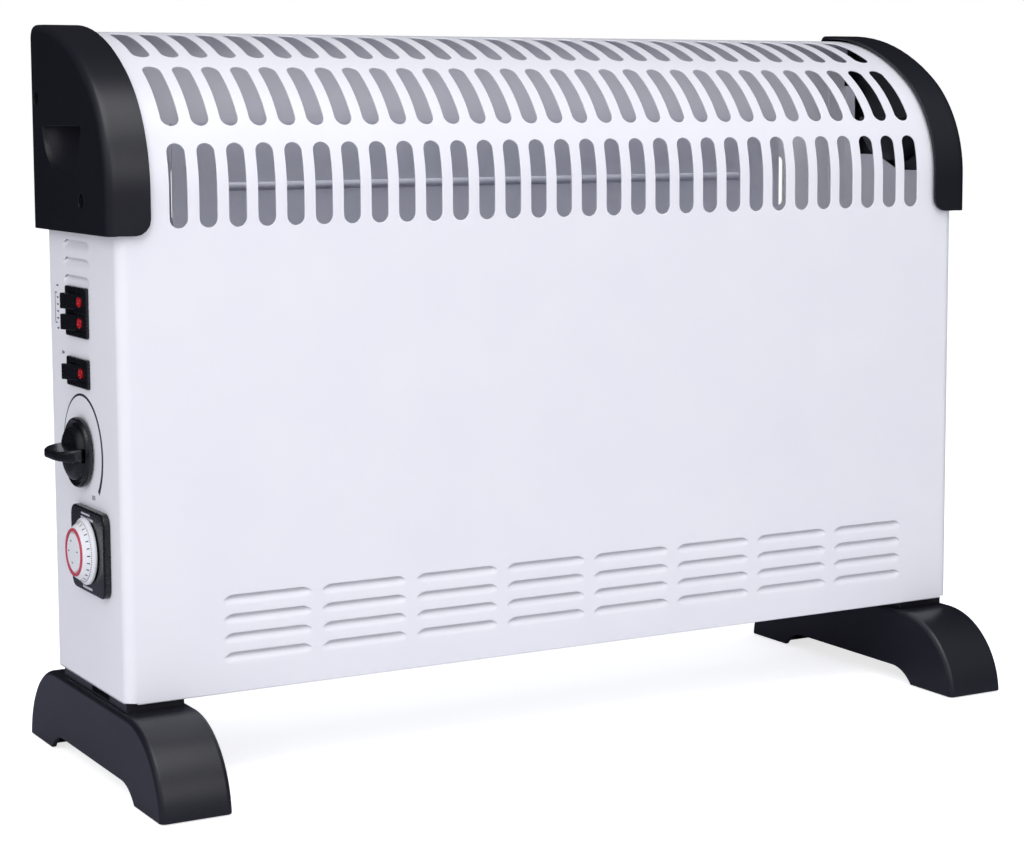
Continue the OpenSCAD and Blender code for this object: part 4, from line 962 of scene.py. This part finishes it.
def knob_faces(radius, reach):
    """Knob: a rimmed disc and a dome; its finger blade is a body of its own within the piece."""
    disc = turned([(4.8, 0.8), (radius - 0.5, 0.8), (radius, 1.3), (radius, 3.0), (radius - 0.5, 4.3),
                   (radius - 1.0, 4.7), (radius - 1.5, 4.55), (radius - 2.1, 3.4), (radius - 3.2, 3.3),
                   (radius - 3.6, 3.9), (radius - 4.1, 5.6), (radius - 5.0, 6.9), (radius - 6.4, 7.7),
                   (radius - 9, 8.0), (0, 8.0)], 96) + turned([(0, 5.2), (4.8, 5.2), (4.8, 0.8)], 96)
    tip = reach - 7.2
    right = [(15.2, 4.0), (15.4, (tip + 2.5) / 2)]
    right += [(8.2 + 7.3 * math.cos(a), tip - 1.5 + 7.3 * math.sin(a)) for a in np.linspace(0, math.pi / 4, 7)]
    right += [(6 + 7.2 * math.cos(a), tip + 7.2 * math.sin(a)) for a in np.linspace(math.pi / 4, math.pi / 2, 9)[1:]]
    outline = right + [(-b, c) for b, c in reversed(right)]

    def thick(c, share):
        """Half thickness of the blade, which thins outward."""
        return share * (3.6 - 1.3 * max(0.0, min(1.0, (c - 6) / (reach - 6))))

    rings = []
    for share, inset in ((-1.0, 1.1), (-0.93, 0.55), (-0.72, 0.12), (-0.4, 0.0), (0.4, 0.0), (0.72, 0.12),
                         (0.93, 0.55), (1.0, 1.1)):
        ring = []
        for b, c in outline:
            pull = inset * min(1.0, max(0.0, (c - 4) / 4))
            size = math.hypot(b, c - 9) or 1.0
            ring.append((thick(c, share), b - pull * b / size, c - pull * (c - 9) / size))
        rings.append(ring)
    blade = tube(rings) + [rings[0][::-1], rings[-1]]
    return disc, blade


# A print stands 0.06 mm proud of its wall and starts a little inside it
PRINT_LOW, PRINT_HIGH = -0.05, 0.06


def slab(outline, low, high):
    """Closed flat piece between two heights."""
    return (tube([at_height(outline, low), at_height(outline, high)])
            + [at_height(outline, low)[::-1], at_height(outline, high)])


def strip(up, back, high, wide, low=PRINT_LOW, top=PRINT_HIGH):
    """Small flat mark about a point of the side, with round corners."""
    outline = rounded(high, wide, min(high, wide) * 0.3, 3)
    return slab([(x + up, y + back) for x, y in outline], low, top)


def swept_mark(radius, start, end, thin, thick):
    """Curved mark that grows wider along its way, from the rear over the top to the front."""
    count = 60
    steps = [(math.radians(a), thin + (thick - thin) * k / count)
             for k, a in enumerate(np.linspace(start, end, count + 1))]
    outer = [((radius + w / 2) * math.sin(a), (radius + w / 2) * math.cos(a)) for a, w in steps]
    inner = [((radius - w / 2) * math.sin(a), (radius - w / 2) * math.cos(a)) for a, w in steps]
    outline = outer + inner[::-1]
    faces = tube([at_height(outline, PRINT_LOW), at_height(outline, PRINT_HIGH)])
    for i in range(count):
        ring = [outer[i], outer[i + 1], inner[i + 1], inner[i]]
        faces += [at_height(ring, PRINT_HIGH), at_height(ring[::-1], PRINT_LOW)]
    return faces


def tick_tree():
    """A mark repeated round an axis, each turned on by an equal angle."""
    tree, given = geometry_tree("Dial Ticks", [("Tick", "Object"), ("Count", "Int"), ("Finish", "Material")])
    points = add(tree, "GeometryNodeMeshLine", {"Count": given["Count"], "Offset": (0, 0, 0)})
    index = add(tree, "GeometryNodeInputIndex").outputs[0]
    share = add(tree, "ShaderNodeMath", {0: index, 1: given["Count"]}, operation="DIVIDE")
    angle = add(tree, "ShaderNodeMath", {0: share, 1: math.tau}, operation="MULTIPLY")
    about = add(tree, "ShaderNodeCombineXYZ", {2: angle})
    tick = add(tree, "GeometryNodeObjectInfo", {"Object": given["Tick"]})
    ring = add(tree, "GeometryNodeInstanceOnPoints", {"Points": points, "Rotation": about,
                                                      "Instance": tick.outputs["Geometry"]})
    return ended(tree, ring, given["Finish"])


def tick_faces(radius, near, far, wide):
    """One tick on the cone between the dial's edge and its ring: a thin bar that follows the slope."""
    low, high = (radius - 1.2, 6.3), (12.9, 10.2)
    ends = [(low[0] + (high[0] - low[0]) * t, low[1] + (high[1] - low[1]) * t) for t in (near, far)]
    # Direction square to the slope, outward and up
    out, up = 0.8, 0.6
    corners = [[(r + h * out, side * wide / 2, z + h * up) for h, side in
                ((PRINT_LOW, -1), (PRINT_LOW, 1), (PRINT_HIGH, 1), (PRINT_HIGH, -1))] for r, z in ends]
    return tube(corners) + [corners[0][::-1], corners[1]]


# ---- Fixings


def screw_head(head, high, recess):
    """Pan head with a cross recess: axis along Z, its seat at zero."""
    count, open_r = 32, head * 0.6
    profile = [(head, 0), (head, high * 0.35), (head * 0.96, high * 0.62), (head * 0.86, high * 0.84),
               (head * 0.7, high * 0.96), (open_r, high)]
    w, l = recess * 0.16, recess * 0.5
    cross = [(w, l), (w, w), (l, w), (l, -w), (w, -w), (w, -l), (-w, -l), (-w, -w), (-l, -w), (-l, w), (-w, w),
             (-w, l)]
    floor = at_height([(x * 0.7, y * 0.7) for x, y in cross], high * 0.25)
    cross = at_height(cross, high)
    faces = turned(profile, count) + filled([at_height(circle(open_r, count), high), cross])
    return faces + tube([cross, floor]) + [floor, at_height(circle(head, count), 0)[::-1]]


def make_screws(name, spots, head, high, recess, turn, seed, tree, finish_name):
    """Heads on the given points, in millimetres about the casing's middle."""
    screw = drawn(name + "_head", screw_head(head, high, recess))
    outward(screw.data)
    base = bpy.data.meshes.new(name + "_points")
    base.from_pydata([(x * MM + MIDDLE, y * MM, z * MM) for x, y, z in spots], [], [])
    mesh = grown(name, tree, {"Fixing": screw, "Turn": turn, "Seed": seed, "Finish": FINISHES[finish_name]}, base)
    bpy.data.objects.remove(screw)
    return smoothed(linked(name, mesh))


# ---- Settings


def metric(label, text, metres):
    """A setting that is a length."""
    return FloatProperty(name=label, description=text, default=metres, unit="LENGTH")


class HeaterCasing(bpy.types.PropertyGroup):
    """Sizes of the folded white casing."""

    shoulder: metric("Shoulder Height", "Height at which the front starts to curve back", 0.301)
    lower_radius: metric("Lower Radius", "Outside radius of the lower curve of the top", 0.0687)
    lower_turn: FloatProperty(name="Lower Turn", description="Angle taken by the lower curve",
                              default=math.radians(52), subtype="ANGLE")
    slot_columns: IntProperty(name="Slot Columns", description="Number of slots in a row", default=30, min=2)
    slot_pitch: metric("Slot Pitch", "Distance between slot columns", 0.01565)
    slot_width: metric("Slot Width", "Width of a slot", 0.0095)
    slot_length: metric("Slot Length", "Length of a slot", 0.042)
    row_pitch: metric("Row Pitch", "Distance between slot rows along the sheet", 0.0512)
    first_row: metric("First Row", "Middle of the lowest row above the shoulder", 0.003)
    louvre_groups: IntProperty(name="Louvre Groups", description="Number of louvre groups across the front",
                               default=8, min=1)
    louvre_length: metric("Louvre Length", "Length of one louvre", 0.0483)
    louvre_step: metric("Louvre Step", "Distance between louvre groups", 0.0544)
    louvre_depth: metric("Louvre Depth", "How far a louvre is pressed inward", 0.0026)
    louvre_band: metric("Louvre Height", "Height of the pressed part of a louvre", 0.0056)
    louvre_pitch: metric("Louvre Pitch", "Distance between the slits of a group", 0.0098)
    louvre_height: metric("Lowest Slit", "Height of the lowest slit", 0.0689)
    louvre_left: metric("Louvre Margin", "Plain sheet left of the first group", 0.052)


class HeaterCaps(bpy.types.PropertyGroup):
    """Sizes of the moulded end caps."""

    reach: metric("Reach", "Reach beyond the side wall", 0.0062)
    overlap: metric("Overlap", "Overlap over the sheet", 0.0166)
    over: metric("Height", "Height above the sheet", 0.0033)
    rear: metric("Rear Reach", "Reach behind the casing", 0.005)
    low: metric("Lower Edge", "Height of the lower edge", 0.28)
    soft: metric("Edge Radius", "Rounding of the outer edge", 0.004)
    grip_y: metric("Recess Place", "Middle of the finger recess", 0.009)
    grip_top: metric("Recess Ceiling", "Height of its flat ceiling", 0.333)
    grip_half: metric("Recess Half Width", "Half its width at the ceiling", 0.029)
    grip_high: metric("Recess Height", "Its height below the ceiling", 0.025)
    grip_depth: metric("Recess Depth", "Its depth at the ceiling", 0.0125)


class HeaterFeet(bpy.types.PropertyGroup):
    """Sizes of the moulded feet."""

    width: metric("Width", "Width of a foot", 0.0375)
    place: metric("Place", "Distance from the heater's middle to a foot's", 0.24175)
    hub: metric("Arc Centre", "Distance of the round ends' centre from the middle", 0.054)
    radius: metric("End Radius", "Radius of the round ends", 0.0455)
    soft: metric("Edge Radius", "Rounding of the upper edges", 0.003)
    arch: metric("Arch Half Length", "Half the straight length of the arch", 0.045)
    rise: metric("Arch Height", "Free height under the arch", 0.0095)


class HeaterControls(bpy.types.PropertyGroup):
    """Places and sizes of the controls on the left side."""

    panel: metric("Switch Line", "Depth position of the switches", 0.0065)
    double: metric("Double Switch", "Height of its middle", 0.2393)
    single: metric("Single Switch", "Height of its middle", 0.2085)
    rocker_step: metric("Rocker Step", "Half the distance between two rockers", 0.00535)
    tilt: FloatProperty(name="Rocker Tilt", description="Tilt of a rocker at rest", default=math.radians(12),
                        subtype="ANGLE")
    knob: metric("Knob Height", "Height of the thermostat knob", 0.168)
    knob_radius: metric("Knob Radius", "Radius of its rim", 0.018)
    blade: metric("Blade Reach", "How far its finger blade stands out, over the end of the shaft", 0.018)
    timer_depth: metric("Timer Line", "Depth position of the timer", -0.009)
    timer: metric("Timer Height", "Height of the timer's middle", 0.1195)
    timer_size: FloatVectorProperty(name="Timer Face", description="Width and height of the bezel", size=2,
                                    default=(0.049, 0.043), unit="LENGTH")
    dial: metric("Dial Radius", "Radius of the timer dial", 0.017)


class HeaterColours(bpy.types.PropertyGroup):
    """Main colours."""

    coat: FloatVectorProperty(name="Coat", description="Powder coat of the casing", subtype="COLOR",
                              default=linear("#EFEFF5")[:3], min=0, max=1)
    moulding: FloatVectorProperty(name="Mouldings", description="End caps and feet", subtype="COLOR",
                                  default=linear("#16161E")[:3], min=0, max=1)
    control: FloatVectorProperty(name="Controls", description="Switches, knob and bezel", subtype="COLOR",
                                 default=linear("#0E0E13")[:3], min=0, max=1)


class HeaterStage(bpy.types.PropertyGroup):
    """Camera and light."""

    lens: FloatProperty(name="Focal Length", description="Of the camera, on a 36 mm sensor", default=82.691)
    power: FloatProperty(name="Light", description="Power of the main lamp in watts", default=14.0)


class HeaterSettings(bpy.types.PropertyGroup):
    """All settings of the heater."""

    casing: PointerProperty(type=HeaterCasing)
    caps: PointerProperty(type=HeaterCaps)
    feet: PointerProperty(type=HeaterFeet)
    controls: PointerProperty(type=HeaterControls)
    colours: PointerProperty(type=HeaterColours)
    stage: PointerProperty(type=HeaterStage)


# ---- Operators


class HEATER_OT_finishes(bpy.types.Operator):
    """Makes the materials and gives each solid of the frame its finish"""

    bl_idname = "heater.finishes"
    bl_label = "Finishes"

    def execute(self, context):
        FINISHES.update(make_finishes(context.scene.heater.colours))
        for node, part in frame["nodes"].items():
            part.data.materials.clear()
            part.data.materials.append(FINISHES[SLOT_OF[node]])
        return {"FINISHED"}


class HEATER_OT_casing(bpy.types.Operator):
    """Folds the white casing with its slots and louvres"""

    bl_idname = "heater.casing"
    bl_label = "Casing"

    def execute(self, context):
        settings = context.scene.heater
        make_casing(settings.casing, mm(settings.caps.low))
        softened("rear_panel", 0.25, 2)
        return {"FINISHED"}


class HEATER_OT_end_caps(bpy.types.Operator):
    """Moulds the two end caps with their finger recesses"""

    bl_idname = "heater.end_caps"
    bl_label = "End Caps"

    def execute(self, context):
        settings = context.scene.heater
        for mirrored in (False, True):
            make_cap(settings.caps, casing_curve(settings.casing), mirrored)
        return {"FINISHED"}


class HEATER_OT_feet(bpy.types.Operator):
    """Moulds the two feet and their pads"""

    bl_idname = "heater.feet"
    bl_label = "Feet"

    def execute(self, context):
        sizes = context.scene.heater.feet
        for node, sign in (("left_foot", -1), ("right_foot", 1)):
            middle = sign * mm(sizes.place)
            skin = moulded(node + "_skin", foot_faces(sizes, middle), "charcoal_plastic", 0.4, 2, 50, wall_mm=2.6)
            collar = moulded(node + "_collar", collar_faces(sizes, middle, sign), "charcoal_plastic", 0.35, 2, 50)
            settle(joined([skin, collar]), node)
        softened("foot_pads", 0.5, 2)
        return {"FINISHED"}


class HEATER_OT_controls(bpy.types.Operator):
    """Finishes the switches, the thermostat knob and the timer"""

    bl_idname = "heater.controls"
    bl_label = "Controls"

    def execute(self, context):
        sizes = context.scene.heater.controls
        y, step = mm(sizes.panel), mm(sizes.rocker_step)
        double, single = mm(sizes.double), mm(sizes.single)
        for node, z, cells in (("double_switch_frame", double, (-step, step)), ("single_switch_frame", single, (0,))):
            height = 8 + 7 + (2 * step if len(cells) > 1 else 0)
            fitted(node, on_side(y, z, frame_faces(height, 31.0, cells)), 0.25, 2, 40)
        for name, z in (("upper_heat", double + step), ("lower_heat", double - step), ("fan", single)):
            for part, faces, edge in (("_rocker", rocker_faces(-5.6, 2.6), 0.45),
                                      ("_lens", lens_faces(-5.6, 2.6), 0.0)):
                fitted(name + part, on_side(y, z, leaned(faces, sizes.tilt, -0.5)), edge, 3, 30)
        disc, blade = knob_faces(mm(sizes.knob_radius), mm(sizes.blade))
        parts = [moulded("knob_" + name, on_side(y - 1.5, mm(sizes.knob), faces), "black_gloss")
                 for name, faces in (("disc", disc), ("blade", blade))]
        settle(joined(parts), "thermostat_knob")
        self.make_timer(sizes)
        softened("cord_gland", 0.3, 2)
        return {"FINISHED"}

    def make_timer(self, sizes):
        """The timer's bezel, dial, ring and cap."""
        y, z = mm(sizes.timer_depth), mm(sizes.timer)
        wide, high = (mm(v) for v in sizes.timer_size)
        rings = [at_height(rounded(high - 2 * i, wide - 2 * i, 6 - i, 10), c) for i, c in
                 ((0, 0), (0, 2.9), (0.15, 3.35), (0.5, 3.68), (1.0, 3.8))]
        hole = at_height(circle(5.6, 44), 3.8)
        faces = tube(rings) + filled([rings[-1], hole])
        fitted("timer_bezel", on_side(y, z, faces), 0.2, 2, 50, 1.6)
        r = mm(sizes.dial)
        dial = turned([(2.65, 4.2), (r - 0.4, 4.2), (r, 4.5), (r, 5.5), (r - 0.5, 6.0), (r - 1.2, 6.3), (12.9, 10.2),
                       (12.4, 10.5), (10.2, 10.5), (10.0, 10.3), (10.0, 9.7), (2.65, 9.7), (2.65, 4.2)], 120)
        fitted("timer_dial", on_side(y, z, dial))
        ring = turned([(10.6, 10.5), (12.2, 10.5), (12.2, 10.9), (11.9, 11.3), (11.4, 11.4), (10.9, 11.3),
                       (10.6, 11.0), (10.6, 10.5)], 120)
        fitted("timer_ring", on_side(y, z, ring))
        cap = turned([(0, 9.7), (9.9, 9.7), (9.9, 10.7), (9.7, 11.0), (9.2, 11.2), (0, 11.2)], 96)
        fitted("timer_cap", on_side(y, z, cap))


class HEATER_OT_marks(bpy.types.Operator):
    """Prints the plain marks beside the switches, round the knob and on the timer"""

    bl_idname = "heater.marks"
    bl_label = "Marks"

    def execute(self, context):
        sizes = context.scene.heater.controls
        y, knob_z = mm(sizes.panel), mm(sizes.knob)
        # Scale round the knob, with short upright marks at both ends
        faces = swept_mark(29.2, 4, 219, 0.5, 2.5)
        for up, back, wide in ((-21.5, -16.6, 0.7), (-21.6, -15.0, 0.7), (-21.7, -13.4, 0.7), (-12.5, 16.5, 0.8),
                               (-17.0, 15.2, 0.8)):
            faces += strip(up, back, 2.4, wide)
        self.print_on("scale_print", on_side(y - 1.5, knob_z, faces), "heater", "ink", "black_gloss")
        # Bracket with short bars behind the double switch, and one mark behind the single one
        faces = strip(0, 36.2, 16.0, 0.5)
        for up in (7.8, -7.8):
            faces += strip(up, 34.8, 0.5, 3.2)
        for up, wide in ((11.6, 3.0), (5.4, 2.6), (1.8, 2.6), (-1.8, 2.6), (-5.4, 2.6), (-10.6, 3.0)):
            faces += strip(up, 32.2, 0.8, wide)
        self.print_on("switch_print", on_side(y, mm(sizes.double), faces), "heater", "ink", "black_gloss")
        faces = strip(8.2, 26.2, 2.0, 1.0) + strip(8.2, 24.4, 1.0, 1.6)
        self.print_on("fan_print", on_side(y, mm(sizes.single), faces), "heater", "ink", "black_gloss")
        # Bars on the bezel, above and below the dial: height, depth, thickness and length
        bars = ((18.6, 1.5, 1.0, 13.0), (16.4, -0.5, 1.3, 18.0), (-19.0, 0.5, 1.2, 14.0))
        faces = [f for up, back, high, wide in bars for f in strip(up, back, high, wide, 3.7, 3.86)]
        place = mm(sizes.timer_depth), mm(sizes.timer)
        self.print_on("bezel_print", on_side(*place, faces), "heater", "light_ink", "white_plastic")
        # Hour and quarter-hour ticks on the dial's slope, and short marks on its cap
        radius = mm(sizes.dial)
        faces = []
        for name, count, near, far, wide in (("hour", 24, 0.3, 0.62, 0.55), ("quarter", 96, 0.1, 0.2, 0.3)):
            tick = drawn(name + "_tick", tick_faces(radius, near, far, wide))
            faces += polygons_of(grown(name + "_ticks", tick_tree(), {"Tick": tick, "Count": count,
                                                                      "Finish": FINISHES["ink"]}))
            bpy.data.objects.remove(tick)
        for up, back in ((5.5, 3.0), (0.0, 6.5), (-5.5, 1.5), (1.0, -6.0)):
            faces += strip(up, back, 0.7, 1.6, 11.1, 11.26)
        self.print_on("dial_print", on_side(*place, faces), "timer", "ink", "white_plastic")
        return {"FINISHED"}

    def print_on(self, name, faces, body, finish_name, slot):
        """A print that rides on a body. Its slot argument, of the moulding below it, is not used."""
        piece = moulded(name, faces, finish_name)
        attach(piece, body)


class HEATER_OT_screws(bpy.types.Operator):
    """Sets the screws of the caps and the rear panel"""

    bl_idname = "heater.screws"
    bl_label = "Screws"

    def execute(self, context):
        tree = fixing_tree()
        # Outer face of the rear panel
        back = BACK + 0.8
        caps = context.scene.heater.caps
        parts = []
        for sign in (-1, 1):
            spots = [(sign * (SIDE + mm(caps.reach) - 2), y, z) for y, z in cap_bolts(caps)]
            parts.append(make_screws("cap_screw_heads_" + ("right" if sign > 0 else "left"), spots, 3.3, 1.7, 3.6,
                                     (0, sign * math.pi / 2, 0), 4 + sign, tree, "dark_screw"))
        for part in parts:
            settle(part, "cap_screws")
        spots = [(x, back, z) for x in (8 - SIDE, SIDE - 8) for z in (80, 170, 260)]
        spots += [(-150, back, TOP - 9), (150, back, TOP - 9)]
        settle(make_screws("panel_screw_heads", spots, 3.4, 1.9, 3.8, (-math.pi / 2, 0, 0), 11, tree, "zinc_steel"),
               "panel_screws")
        return {"FINISHED"}


class HEATER_OT_stage(bpy.types.Operator):
    """Sets the floor, the lamps, the world and the camera"""

    bl_idname = "heater.stage"
    bl_label = "Stage"

    def execute(self, context):
        scene = context.scene
        settings = scene.heater.stage
        scene.view_settings.view_transform = "Standard"
        # Camera: turned about the heater, raised and rolled
        turn, rise, roll = (math.radians(a) for a in (-29.516, 6.035, -0.237))
        back = Vector((math.sin(turn) * math.cos(rise), -math.cos(turn) * math.cos(rise), math.sin(rise)))
        level = (-back).cross(Vector((0, 0, 1))).normalized()
        upward = level.cross(-back)
        right = math.cos(roll) * level + math.sin(roll) * upward
        up = math.cos(roll) * upward - math.sin(roll) * level
        camera = bpy.data.objects.new("camera", bpy.data.cameras.new("camera"))
        camera.data.lens, camera.data.sensor_width = settings.lens, 36
        camera.data.shift_x, camera.data.shift_y = -0.00605, -0.0657
        camera.data.clip_start, camera.data.clip_end = 0.05, 50
        place = Vector((-649.87, -1135.13, 339.95)) * MM + Vector((MIDDLE, 0, 0))
        camera.matrix_world = Matrix.Translation(place) @ Matrix((right, up, back)).transposed().to_4x4()
        scene.collection.objects.link(camera)
        scene.camera = camera
        # World: white to the eye, softer as a light
        world = bpy.data.worlds.new("studio")
        scene.world = world
        tree = emptied(world)
        path = add(tree, "ShaderNodeLightPath").outputs
        seen = add(tree, "ShaderNodeMath", {0: path["Is Camera Ray"], 1: path["Is Transmission Ray"]},
                   operation="MAXIMUM")
        # Reflections show a studio that is light in front and above, and dark behind and low down
        way = add(tree, "ShaderNodeSeparateXYZ", {0: add(tree, "ShaderNodeTexCoord").outputs["Generated"]}).outputs
        front = add(tree, "ShaderNodeMapRange", {0: way[1], 1: -0.4, 2: 0.3, 3: 0.62, 4: 0.03})
        above = add(tree, "ShaderNodeMapRange", {0: way[2], 1: 0.0, 2: 0.45, 3: 0.25, 4: 1.2})
        leftward = add(tree, "ShaderNodeMapRange", {0: way[0], 1: 0.3, 2: 0.65, 3: 1.0, 4: 0.2})
        mirrored = add(tree, "ShaderNodeMath", {0: front, 1: above}, operation="MULTIPLY")
        mirrored = add(tree, "ShaderNodeMath", {0: mirrored, 1: leftward}, operation="MULTIPLY")
        strength = add(tree, "ShaderNodeMix", {0: path["Is Glossy Ray"], 2: 0.44, 3: mirrored})
        light = add(tree, "ShaderNodeBackground", {"Color": "#F2F4FC", "Strength": strength})
        white = add(tree, "ShaderNodeBackground", {"Color": (1, 1, 1, 1), "Strength": 1.0})
        mixed = add(tree, "ShaderNodeMixShader", {0: seen, 1: light, 2: white})
        add(tree, "ShaderNodeOutputWorld", {"Surface": mixed})
        # Floor: white to the eye, and it keeps a faint shadow
        floor = plain("floor", [(-4, -4, 0), (4, -4, 0), (4, 6, 0), (-4, 6, 0)], [(0, 1, 2, 3)])
        material, tree = blank("pale_floor")
        path = add(tree, "ShaderNodeLightPath").outputs
        matt = add(tree, "ShaderNodeBsdfDiffuse", {"Color": "#F4F4F6"})
        glow = add(tree, "ShaderNodeEmission", {"Color": (1, 1, 1, 1), "Strength": 0.72})
        both = add(tree, "ShaderNodeAddShader", {0: matt, 1: glow})
        # In reflections the floor is pale near the heater and dark farther out, like the studio behind
        reach = add(tree, "ShaderNodeVectorMath", {0: add(tree, "ShaderNodeTexCoord").outputs["Object"]},
                    operation="LENGTH")
        far = add(tree, "ShaderNodeMapRange", {0: reach.outputs["Value"], 1: 0.5, 2: 1.3})
        tone = add(tree, "ShaderNodeMix", {0: far, 6: "#9A9AAC", 7: "#26272E"}, data_type="RGBA")
        deep = add(tree, "ShaderNodeBsdfDiffuse", {"Color": tone.outputs[2]})
        unseen = add(tree, "ShaderNodeMixShader", {0: path["Is Glossy Ray"], 1: matt, 2: deep})
        mixed = add(tree, "ShaderNodeMixShader", {0: path["Is Camera Ray"], 1: unseen, 2: both})
        add(tree, "ShaderNodeOutputMaterial", {"Surface": mixed})
        floor.data.materials.append(material)
        # Soft boxes: place, size and share of the light
        lamps = {"key": ((-1.45, -1.5, 1.45), 1.3, 1.2), "fill": ((0.3, -1.95, 0.95), 0.7, 0.25),
                 "top": ((-0.1, -0.75, 1.8), 1.2, 0.9), "left": ((-1.9, 0.1, 0.7), 1.0, 0.34)}
        for name, (place, size, share) in lamps.items():
            lamp = bpy.data.lights.new(name, "AREA")
            lamp.shape, lamp.size, lamp.energy = "SQUARE", size, settings.power * share
            made = bpy.data.objects.new(name, lamp)
            spot = Vector(place)
            aim = (Vector((0, 0, 0.2)) - spot).to_track_quat("-Z", "Y")
            made.matrix_world = Matrix.Translation(spot) @ aim.to_matrix().to_4x4()
            # The side lamps light the paint without a reflection in the dark mouldings
            made.visible_glossy = name in ("fill", "top")
            scene.collection.objects.link(made)
        return {"FINISHED"}


class HEATER_PT_panel(bpy.types.Panel):
    """Lists the heater's pieces in the sidebar."""

    bl_label = "Convector Heater"
    bl_idname = "HEATER_PT_panel"
    bl_space_type = "VIEW_3D"
    bl_region_type = "UI"
    bl_category = "Heater"

    def draw(self, context):
        settings = context.scene.heater
        for operator in OPERATORS:
            self.layout.operator(operator.bl_idname)
        for group in (settings.casing, settings.caps, settings.feet, settings.controls, settings.colours,
                      settings.stage):
            column = self.layout.column(align=True)
            for name in group.__annotations__:
                column.prop(group, name)


GROUPS = (HeaterCasing, HeaterCaps, HeaterFeet, HeaterControls, HeaterColours, HeaterStage, HeaterSettings)
OPERATORS = (HEATER_OT_finishes, HEATER_OT_casing, HEATER_OT_end_caps, HEATER_OT_feet, HEATER_OT_controls,
             HEATER_OT_marks, HEATER_OT_screws, HEATER_OT_stage)


def register():
    for item in GROUPS + OPERATORS + (HEATER_PT_panel,):
        bpy.utils.register_class(item)
    bpy.types.Scene.heater = PointerProperty(type=HeaterSettings)


def unregister():
    del bpy.types.Scene.heater
    for item in reversed(GROUPS + OPERATORS + (HEATER_PT_panel,)):
        bpy.utils.unregister_class(item)


def main():
    register()
    for operator in OPERATORS:
        group, name = operator.bl_idname.split(".")
        getattr(getattr(bpy.ops, group), name)()
    bpy.context.view_layer.update()


if __name__ == "__main__":
    main()
